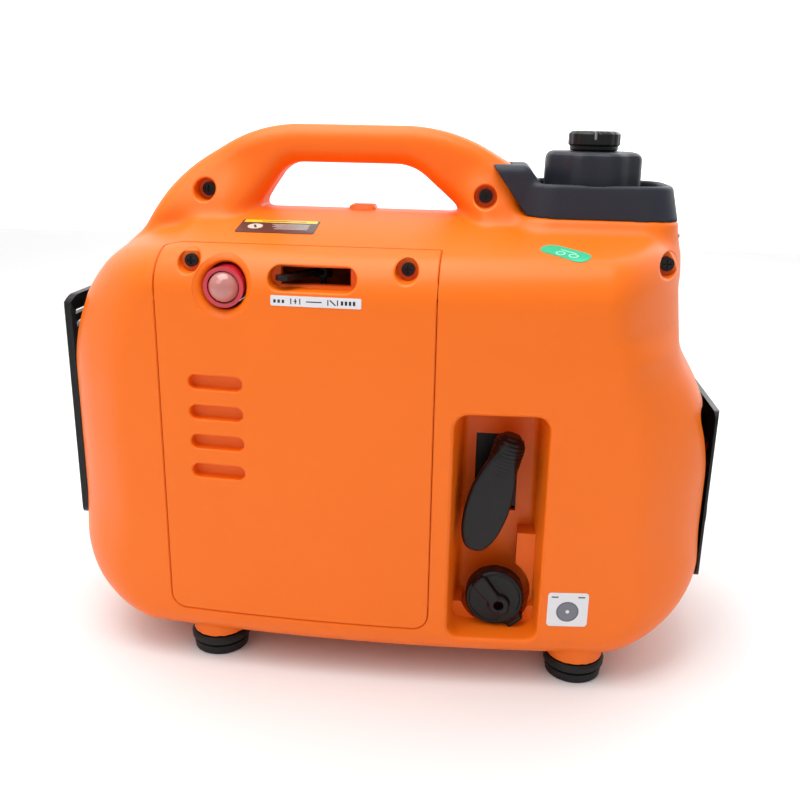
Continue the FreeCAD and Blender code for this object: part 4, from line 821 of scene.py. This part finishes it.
def grip_field(x, y, z):
    """an oval plate in front of a round barrel that is ribbed at its head"""
    across = (x - GRIP_MIDDLE.x) * math.cos(GRIP_LEAN) - (z - GRIP_MIDDLE.z) * math.sin(GRIP_LEAN)
    along = (x - GRIP_MIDDLE.x) * math.sin(GRIP_LEAN) + (z - GRIP_MIDDLE.z) * math.cos(GRIP_LEAN)
    depth = y - GRIP_MIDDLE.y
    u, v = np.abs(along + 4) / 36.0, np.abs(across) / (14.0 - 2.5 * ramp(along, -5, 30))
    oval = ((u ** 2.4 + v ** 2.4) ** (1 / 2.4) - 1) * 13.5
    plate = edge(oval, np.abs(depth + 6.0) - 3.8, 2.2)
    barrel = np.hypot(across - 1.5, np.maximum(np.abs(depth - 2.0) - 1.5, 0)) - 10.2
    barrel = edge(barrel, np.abs(along - 2) - 38.5, 8.5)
    ribs = 0.3 * (1 + np.cos(along * 2 * math.pi / 2.4)) * ramp(along, 15, 18)
    return melt(barrel + ribs, plate, 2.5)


soft_piece("grip_bar", grip_field, (grip_low * 1000) - Vector((4, 4, 4)),
           (grip_high * 1000) + Vector((4, 4, 4)), 0.7, GRIP, "starter_grip", "grip")

# ---------------------------------------------------------------------------
# The starter rope: a braided nylon cord, knotted in the grip and led through the guide
# in the recess.
# ---------------------------------------------------------------------------

rope_low, rope_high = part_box("starter_rope")
ROPE_AXIS = ((rope_low.x + rope_high.x) * 500, (rope_low.z + rope_high.z) * 500)
ROPE_R = (rope_high.x - rope_low.x) * 500
ROPE_RINGS = 40
rope_rings = []
for i in range(ROPE_RINGS):
    depth = 1000 * (rope_high.y + (rope_low.y - rope_high.y) * i / (ROPE_RINGS - 1))
    rope_rings.append([Vector((ROPE_AXIS[0] + ROPE_R * math.cos(angle), depth,
                               ROPE_AXIS[1] + ROPE_R * math.sin(angle)))
                       for angle in np.linspace(0, 2 * math.pi, 25)[:-1]])
pull_rope = outward(stack("pull_rope", rope_rings))
ROPE = moulded("braided_nylon", srgb(34, 33, 36), 0.75, 1.2, 0.8)
pull_rope.data.materials.append(ROPE)
smooth(pull_rope, 40)
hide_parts("starter_rope")
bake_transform(pull_rope)

# ---------------------------------------------------------------------------
# Turned and lobed caps and knobs.  Each starts as a disc whose rim is drawn up ring
# by ring; flutes are then pressed into its side.
# ---------------------------------------------------------------------------


def begin(made):
    """selects one object and makes it the active one"""
    bpy.ops.object.select_all(action="DESELECT")
    made.select_set(True)
    bpy.context.view_layer.objects.active = made


def turned_piece(name, centre, profile, sides=96):
    """a closed solid round a vertical axis: profile holds (radius, height) in metres"""
    bpy.ops.object.select_all(action="DESELECT")
    bpy.ops.mesh.primitive_circle_add(vertices=sides, radius=profile[0][0], fill_type="NGON",
                                      location=(centre[0], centre[1], profile[0][1]))
    made = bpy.context.object
    made.name = name
    bpy.ops.object.mode_set(mode="EDIT")
    bpy.ops.mesh.select_mode(type="FACE")
    bpy.ops.mesh.select_all(action="SELECT")
    for (radius, height), (next_radius, next_height) in zip(profile, profile[1:]):
        bpy.ops.mesh.extrude_region_move(
            TRANSFORM_OT_translate={"value": (0, 0, next_height - height)})
        ratio = next_radius / radius
        bpy.ops.transform.resize(value=(ratio, ratio, 1))
    bpy.ops.mesh.select_all(action="SELECT")
    bpy.ops.mesh.normals_make_consistent(inside=False)
    bpy.ops.object.mode_set(mode="OBJECT")
    begin(made)
    bpy.ops.object.transform_apply(location=True, rotation=True, scale=True)
    return made


def finish_piece(made, material, node, body, degrees=35, bevel=0.0):
    """bevels, dresses and places a piece that stands for one CAD node"""
    if bevel:
        modifier = made.modifiers.new("edges", "BEVEL")
        modifier.width = bevel
        modifier.segments = 3
        modifier.limit_method = "ANGLE"
        modifier.angle_limit = math.radians(30)
        modifier.harden_normals = False
        apply_modifiers(made)
    made.data.materials.clear()
    made.data.materials.append(material)
    smooth(made, degrees)
    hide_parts(node)
    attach(made, body)


CAP_SIDES = 8
floor_z, top_z = cap_low.z, cap_high.z
cap_r = CAP_R / 1000
cap = turned_piece("filler_cap", (FILLER_X / 1000, 0.0),
                   [(cap_r - 0.0015, floor_z), (cap_r, floor_z + 0.0012), (cap_r, floor_z + 0.006),
                    (cap_r - 0.0012, floor_z + 0.0072), (cap_r - 0.0012, floor_z + 0.014),
                    (cap_r - 0.0014, top_z - 0.0045), (cap_r - 0.0022, top_z - 0.0022),
                    (cap_r - 0.0040, top_z - 0.0007), (cap_r - 0.0062, top_z - 0.0001),
                    (cap_r - 0.015, top_z), (0.012, top_z)], 160)
for vertex in cap.data.vertices:
    offset = vertex.co.xy - Vector((FILLER_X / 1000, 0))
    reach = offset.length
    if vertex.co.z > floor_z + 0.0065 and reach > 0.018:
        angle = math.atan2(offset.y, offset.x)
        turn = (angle + math.pi / CAP_SIDES) % (2 * math.pi / CAP_SIDES) - math.pi / CAP_SIDES
        flat = min(1.0, math.cos(math.pi / CAP_SIDES) * 1.035 / math.cos(turn))
        scoop = 0.02 * math.exp(-(turn / 0.16) ** 2)
        shrink = 1 - (1 - flat + scoop) * min(1.0, (reach - 0.018) / 0.008)
        vertex.co.xy = Vector((FILLER_X / 1000, 0)) + offset * shrink
combine(cap, rod((FILLER_X, 0, floor_z * 1000 - 1), (FILLER_X, 0, floor_z * 1000 + 7), 25.2),
        "DIFFERENCE")
finish_piece(cap, CAP, "fuel_cap", "cap", bevel=0.0004)

knob_low, knob_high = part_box("cap_vent_knob")
vent_r = (knob_high.x - knob_low.x) / 2
seat_z = top_z + 0.0003
vent_knob = turned_piece("vent_dial", (FILLER_X / 1000, 0.0),
                         [(vent_r - 0.002, seat_z), (vent_r - 0.0012, seat_z + 0.0008),
                          (vent_r - 0.0012, seat_z + 0.003), (vent_r, seat_z + 0.0042),
                          (vent_r, knob_high.z - 0.002), (vent_r - 0.0016, knob_high.z - 0.0005),
                          (vent_r - 0.0035, knob_high.z), (0.004, knob_high.z)], 96)
for vertex in vent_knob.data.vertices:
    offset = vertex.co.xy - Vector((FILLER_X / 1000, 0))
    if offset.length > 0.008 and vertex.co.z > seat_z + 0.0035:
        ripple = max(0.0, math.cos(16 * math.atan2(offset.y, offset.x)))
        vertex.co.xy -= offset.normalized() * 0.0005 * ripple
slit = slab((FILLER_X - 1.4, -30, knob_high.z * 1000 - 5.5), (FILLER_X + 1.4, 30, 400))
combine(vent_knob, slit, "DIFFERENCE")
finish_piece(vent_knob, BLACK, "cap_vent_knob", "vent_knob", bevel=0.0003)

# ---------------------------------------------------------------------------
# The four feet: turned rubber pads on the case's bosses, each with a groove above its
# tread and a countersunk screw underneath.
# ---------------------------------------------------------------------------

FOOT_R = 0.0205
FOOT_TOP = 0.0138
foot_pads = []
FOOT_PROFILE = [(FOOT_R - 0.0035, 0.0), (FOOT_R - 0.0020, 0.0006), (FOOT_R - 0.0016, 0.0035),
                (FOOT_R - 0.0016, 0.0062), (FOOT_R - 0.0028, 0.0068), (FOOT_R - 0.0028, 0.0080),
                (FOOT_R - 0.0002, 0.0088), (FOOT_R, 0.0120), (FOOT_R - 0.0012, FOOT_TOP),
                (0.008, FOOT_TOP)]
for foot_x, foot_y in FEET:
    foot_pads.append(turned_piece("pad", (foot_x / 1000, foot_y / 1000), FOOT_PROFILE, 64))
feet = joined(foot_pads)
feet.name = "foot_pads"
for foot_x, foot_y in FEET:
    combine(feet, rod((foot_x, foot_y, -1), (foot_x, foot_y, 4.2), 6.5), "DIFFERENCE")
finish_piece(feet, RUBBER, "rubber_feet", "case")

# ---------------------------------------------------------------------------
# The fuel cock's knob: a black moulded disc with a raised pointer across it, a screw
# hole, and a ribbed tab on its rim for the thumb.
# ---------------------------------------------------------------------------

cock_low, cock_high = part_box("fuel_cock_knob")
COCK_FRONT = -cock_low.y * 1000
POINTER = math.radians(-50)


def cock_field(x, y, z):
    """a dished disc with a fin and a hub across it, and a tab for the thumb"""
    u, w = x - COCK[0], z - COCK[1]
    front = -y - COCK_FRONT
    along = u * math.cos(POINTER) + w * math.sin(POINTER)
    across = -u * math.sin(POINTER) + w * math.cos(POINTER)
    disc = edge(np.hypot(u, w) - 19.3, front + 4.2, 2.0)
    disc = np.maximum(disc, y - (-COCK_FRONT + 15))
    dished = np.maximum(np.hypot(u, w) - 16.5, -(front + 5.2))
    disc = soften(disc, -dished, 1.0)
    fin = edge(edge(np.abs(across) - 4.6 + 0.07 * (along + 6), np.abs(along + 3) - 15.2, 3.0),
               front + 0.6, 1.6)
    fin = np.maximum(fin, y - (-COCK_FRONT + 12))
    hub = edge(np.hypot(along - 4.5, across) - 7.0, front + 1.2, 1.6)
    hub = np.maximum(hub, y - (-COCK_FRONT + 12))
    tab = edge(edge(np.abs(across) - 6.2, np.abs(along - 17.5) - 6.6, 2.0), front + 5.0, 1.5)
    tab = np.maximum(tab, y - (-COCK_FRONT + 13)) + 0.35 * ramp(np.cos(along * 2.4), 0.2, 0.9) \
        * ramp(along, 17, 18)
    field = melt(melt(disc, fin, 1.2), melt(hub, tab, 1.0), 1.2)
    return soften(field, 3.2 - np.hypot(along - 4.5, across), 1.0)


soft_piece("cock_dial", cock_field, cock_low * 1000 - Vector((3.1, 3.2, 3.3)),
           cock_high * 1000 + Vector((3, 3, 3)), 0.75, BLACK, "fuel_cock_knob",
           "fuel_cock")

# ---------------------------------------------------------------------------
# Labels: thin printed films laid on the case.  The marks are plain shapes: bars, dots
# and dials, with no words.
# ---------------------------------------------------------------------------


def film(name, axis, sign, middle, half_u, half_v, radius, body, material, lift=0.35, turn=0.0):
    """a thin plate that follows the skin, cut to a rounded rectangle"""
    c, s = math.cos(turn), math.sin(turn)
    rim = rounded((0, 0), half_u, half_v, radius) @ np.array(((c, s), (-s, c))) + middle
    rings = []
    for share in (1.0, 0.8, 0.6, 0.4, 0.2):
        rings.append(np.array(middle) + (rim - np.array(middle)) * share)
    count = len(rim)
    points = []
    for height in (lift, -0.6):
        for flat in rings + [np.array([middle])]:
            points.append(lifted(axis, sign, flat, height))
    points = np.concatenate(points)
    layer = len(rings) * count + 1
    faces = []
    for base, flip in ((0, False), (layer, True)):
        for k in range(len(rings) - 1):
            for i in range(count):
                j = (i + 1) % count
                faces.append((base + k * count + i, base + k * count + j,
                              base + (k + 1) * count + j, base + (k + 1) * count + i))
        inner = base + (len(rings) - 1) * count
        for i in range(count):
            faces.append((inner + i, inner + (i + 1) % count, base + layer - 1))
    for i in range(count):
        faces.append((i, (i + 1) % count, layer + (i + 1) % count, layer + i))
    made = outward(link_mesh(name, points, faces))
    made.data.materials.append(material)
    smooth(made, 30)
    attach(made, body)
    return made


def lifted(axis, sign, flat, height):
    """points of the skin at (across, up), raised along its normal"""
    if axis == "z":
        out = np.full(len(flat), HANDLE_TOP)
        low = np.full(len(flat), DECK - 80)
        for _ in range(22):
            middle = (low + out) / 2
            inside = case_body(flat[:, 0], flat[:, 1], middle) < 0
            low = np.where(inside, middle, low)
            out = np.where(inside, out, middle)
        points = np.stack([flat[:, 0], flat[:, 1], low], 1)
    else:
        points = place(axis, flat[:, 0], flat[:, 1], sign * skin_at(axis, sign, *flat.T))
    slope = slope_of(case_body, points, 1.0)
    return points + slope / np.linalg.norm(slope, axis=1)[:, None] * height


class Marks:
    """flat shapes in a plane of the object's coordinates, as masks from 0 to 1"""

    def __init__(self, place_wire, first, second):
        split = place_wire.tree.nodes.new("ShaderNodeSeparateXYZ")
        place_wire.tree.links.new(place_wire.socket, split.inputs[0])
        self.u = Wire(place_wire.tree, split.outputs[first]) * 1000.0
        self.v = Wire(place_wire.tree, split.outputs[second]) * 1000.0

    def bar(self, u, v, half_u, half_v, turn=0.0):
        c, s = math.cos(turn), math.sin(turn)
        du, dv = self.u - u, self.v - v
        along = (du * c + dv * s).maths("ABSOLUTE")
        across = (dv * c - du * s).maths("ABSOLUTE")
        return along.maths("LESS_THAN", half_u) * across.maths("LESS_THAN", half_v)

    def disc(self, u, v, radius):
        du, dv = self.u - u, self.v - v
        return (du * du + dv * dv).maths("LESS_THAN", radius * radius)


def printed(name, ground, axes, layers, roughness=0.35):
    """a printed film: layers is a list of (mask maker, colour) laid over the ground"""
    material, place_wire, shader = new_material(name, ground, roughness, coat=0.3)
    marks = Marks(place_wire, *axes)
    tone = None
    for mask, colour in layers:
        below = ground if tone is None else tone
        tone = place_wire.node("ShaderNodeMix", out=2, settings={"data_type": "RGBA"},
                               Factor=mask(marks), i6=below, i7=colour)
    material.node_tree.links.new(tone.socket, shader.inputs["Base Color"])
    grain = place_wire.node("ShaderNodeTexNoise", Vector=place_wire, Scale=900.0)
    rough = grain.clamped(0.3, 0.7, roughness - 0.06, roughness + 0.06)
    material.node_tree.links.new(rough.socket, shader.inputs["Roughness"])
    return material


INK = srgb(30, 32, 40)
PAPER = srgb(222, 222, 226)
CHOKE_MARKS = printed("choke_strip_print", PAPER, ("X", "Z"), [
    (lambda m: m.bar(-51, 255.4, 0.35, 1.7) + m.bar(-45.5, 255.4, 0.35, 1.7), INK),
    (lambda m: m.bar(-48.2, 255.4, 0.35, 1.5) + m.bar(-48.2, 255.4, 0.9, 0.35), INK),
    (lambda m: m.bar(-37, 255.4, 4.8, 0.35), INK),
    (lambda m: m.bar(-28.5, 255.4, 0.35, 1.7) + m.bar(-22.7, 255.4, 0.35, 1.7), INK),
    (lambda m: m.bar(-25.6, 255.4, 2.3, 0.4, math.radians(-42)), INK)]
    + [(lambda m, u=u: m.bar(u, 255.1, 0.75, 1.0), INK) for u in (-61, -58.4, -55.8)]
    + [(lambda m, u=u: m.bar(u, 255.4, 0.75, 1.25), INK) for u in (-20, -17.6, -15.2, -12.8)])
strip = film("choke_strip", "y", -1, (-36, 255.4), 27.5, 3.1, 0.8, "door", CHOKE_MARKS)
YELLOW = srgb(236, 196, 40)
PALE = srgb(205, 200, 190)
GREY_INK = srgb(52, 46, 44)
text_rows = [(lambda m, v=v, n=n: m.bar(-66 + n, v, 12.5 - n, 0.35), PALE)
             for v, n in ((-46.5, 0.0), (-48.7, 1.0), (-50.9, 0.5), (-53.1, 2.0), (-55.3, 1.5))]
WARNING_MARKS = printed("warning_print", GREY_INK, ("X", "Y"), [
    (lambda m: m.bar(-74, -40.5, 24.5, 2.6), YELLOW),
    (lambda m: m.bar(-72, -40.5, 15, 0.7), GREY_INK),
    (lambda m: m.disc(-89, -51, 5.0), PALE),
    (lambda m: m.bar(-89, -51, 0.8, 3.0, math.radians(20)), GREY_INK)] + text_rows)
films = [film("warning_film", "z", 1, (-74, -50), 26.0, 13.0, 2.0, "case",
              WARNING_MARKS, lift=0.3)]
DIAL_MARKS = printed("cock_print", PAPER, ("X", "Z"), [
    (lambda m: m.disc(126, 58.6, 7.2), srgb(96, 98, 108)),
    (lambda m: m.disc(126, 58.6, 6.2), srgb(112, 114, 124)),
    (lambda m: m.disc(126, 58.6, 1.2), PAPER),
    (lambda m: m.bar(117.5, 69, 2.2, 0.45) + m.bar(134.5, 69, 2.2, 0.45), INK)])
films.append(film("cock_film", "y", -1, (126, 60), 13.0, 12.0, 2.2, "case",
                  DIAL_MARKS))
SEAL_GREEN = srgb(52, 190, 140)
SEAL_WHITE = srgb(198, 236, 220)
SEAL = (110.5, -82.0)
GREEN_MARKS = printed("seal_print", SEAL_GREEN, ("X", "Y"), [
    (lambda m: m.disc(SEAL[0] - 3, SEAL[1] - 1, 3.0), SEAL_WHITE),
    (lambda m: m.disc(SEAL[0] - 3, SEAL[1] - 1, 2.2), SEAL_GREEN),
    (lambda m: m.disc(SEAL[0] + 4.5, SEAL[1] - 5, 3.0), SEAL_WHITE),
    (lambda m: m.disc(SEAL[0] + 4.5, SEAL[1] - 5, 2.2), SEAL_GREEN),
    (lambda m: m.bar(SEAL[0] + 2, SEAL[1] + 2, 5.5, 0.4, math.radians(-36)), SEAL_WHITE)])
films.append(film("seal_film", "z", 1, SEAL, 16.5, 7.8, 7.7, "case", GREEN_MARKS,
                  turn=math.radians(-36)))
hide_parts("case_labels")
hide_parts("choke_label")

# ---------------------------------------------------------------------------
# The primer: a clear silicone bulb held in a glossy red ring.
# ---------------------------------------------------------------------------

BULB, _, bulb_shader = new_material("clear_silicone", srgb(232, 150, 142), 0.07, coat=1.0)
bulb_shader.inputs["Transmission Weight"].default_value = 0.4
bulb_shader.inputs["Specular IOR Level"].default_value = 0.6
RING = moulded("primer_ring", srgb(206, 34, 58), 0.16, 0.8, 0.02, coat=1.0)
bulb_shader.inputs["IOR"].default_value = 1.4
nodes["primer_bulb"].data.materials.clear()
nodes["primer_bulb"].data.materials.append(BULB)
nodes["primer_base"].data.materials.clear()
nodes["primer_base"].data.materials.append(RING)

# ---------------------------------------------------------------------------
# Floor, backdrop, light and camera.  The backdrop is a white sheet that shines a little.
# ---------------------------------------------------------------------------

def studio_plane(name, size, place_at, tilt, grey, roughness, glow):
    """a plain sheet of the studio; glow is how strongly it shines white"""
    bpy.ops.mesh.primitive_plane_add(size=size, location=place_at, rotation=(tilt, 0, 0))
    made = bpy.context.object
    made.name = name
    material = bpy.data.materials.new(name + " paint")
    material.use_nodes = True
    shader = material.node_tree.nodes["Principled BSDF"]
    shader.inputs["Base Color"].default_value = (grey, grey, grey, 1)
    shader.inputs["Roughness"].default_value = roughness
    shader.inputs["Emission Color"].default_value = (1, 1, 1, 1)
    shader.inputs["Emission Strength"].default_value = glow
    made.data.materials.append(material)


studio_plane("floor", 14, (0, 2, 0), 0.0, 0.86, 0.7, 0.0)
studio_plane("backdrop", 9, (0, 2.2, 2), math.radians(90), 0.8, 0.5, 0.75)

world = bpy.data.worlds.new("studio")
bpy.context.scene.world = world
world.use_nodes = True
world.node_tree.nodes["Background"].inputs["Color"].default_value = (1, 1, 1, 1)
world.node_tree.nodes["Background"].inputs["Strength"].default_value = 0.60


def soft_light(name, place_at, aim, size, watts):
    """a square soft box that points at a place"""
    lamp = bpy.data.lights.new(name, "AREA")
    lamp.shape = "SQUARE"
    lamp.size = size
    lamp.energy = watts
    made = bpy.data.objects.new(name, lamp)
    made.location = place_at
    made.rotation_euler = (Vector(aim) - Vector(place_at)).to_track_quat("-Z", "Y").to_euler()
    bpy.context.scene.collection.objects.link(made)


soft_light("overhead", (-0.2, -0.15, 1.5), (0, 0, 0.2), 1.2, 18)
soft_light("front", (-0.9, -1.15, 1.5), (0, 0, 0.15), 1.0, 6)
soft_light("back", (0.9, 1.4, 1.0), (0, 0, 0.15), 1.0, 6)

camera_data = bpy.data.cameras.new("camera")
camera = bpy.data.objects.new("camera", camera_data)
bpy.context.scene.collection.objects.link(camera)
camera_data.sensor_width = 36.0
camera_data.lens = 40.5
yaw, pitch, roll = math.radians(6.0), math.radians(17.2), math.radians(1.1)
ahead = Vector((-math.sin(yaw) * math.cos(pitch), math.cos(yaw) * math.cos(pitch), -math.sin(pitch)))
level_right = Vector((math.cos(yaw), math.sin(yaw), 0))
down = ahead.cross(level_right)
right = math.cos(roll) * level_right - math.sin(roll) * down
lower = math.sin(roll) * level_right + math.cos(roll) * down
CAMERA_PLACE = (0.0699, -0.6344, 0.3587)
camera.matrix_world = Matrix.Translation(CAMERA_PLACE) @ Matrix(
    (right, -lower, -ahead)).transposed().to_4x4()
bpy.context.scene.camera = camera
bpy.context.scene.view_settings.view_transform = "Standard"
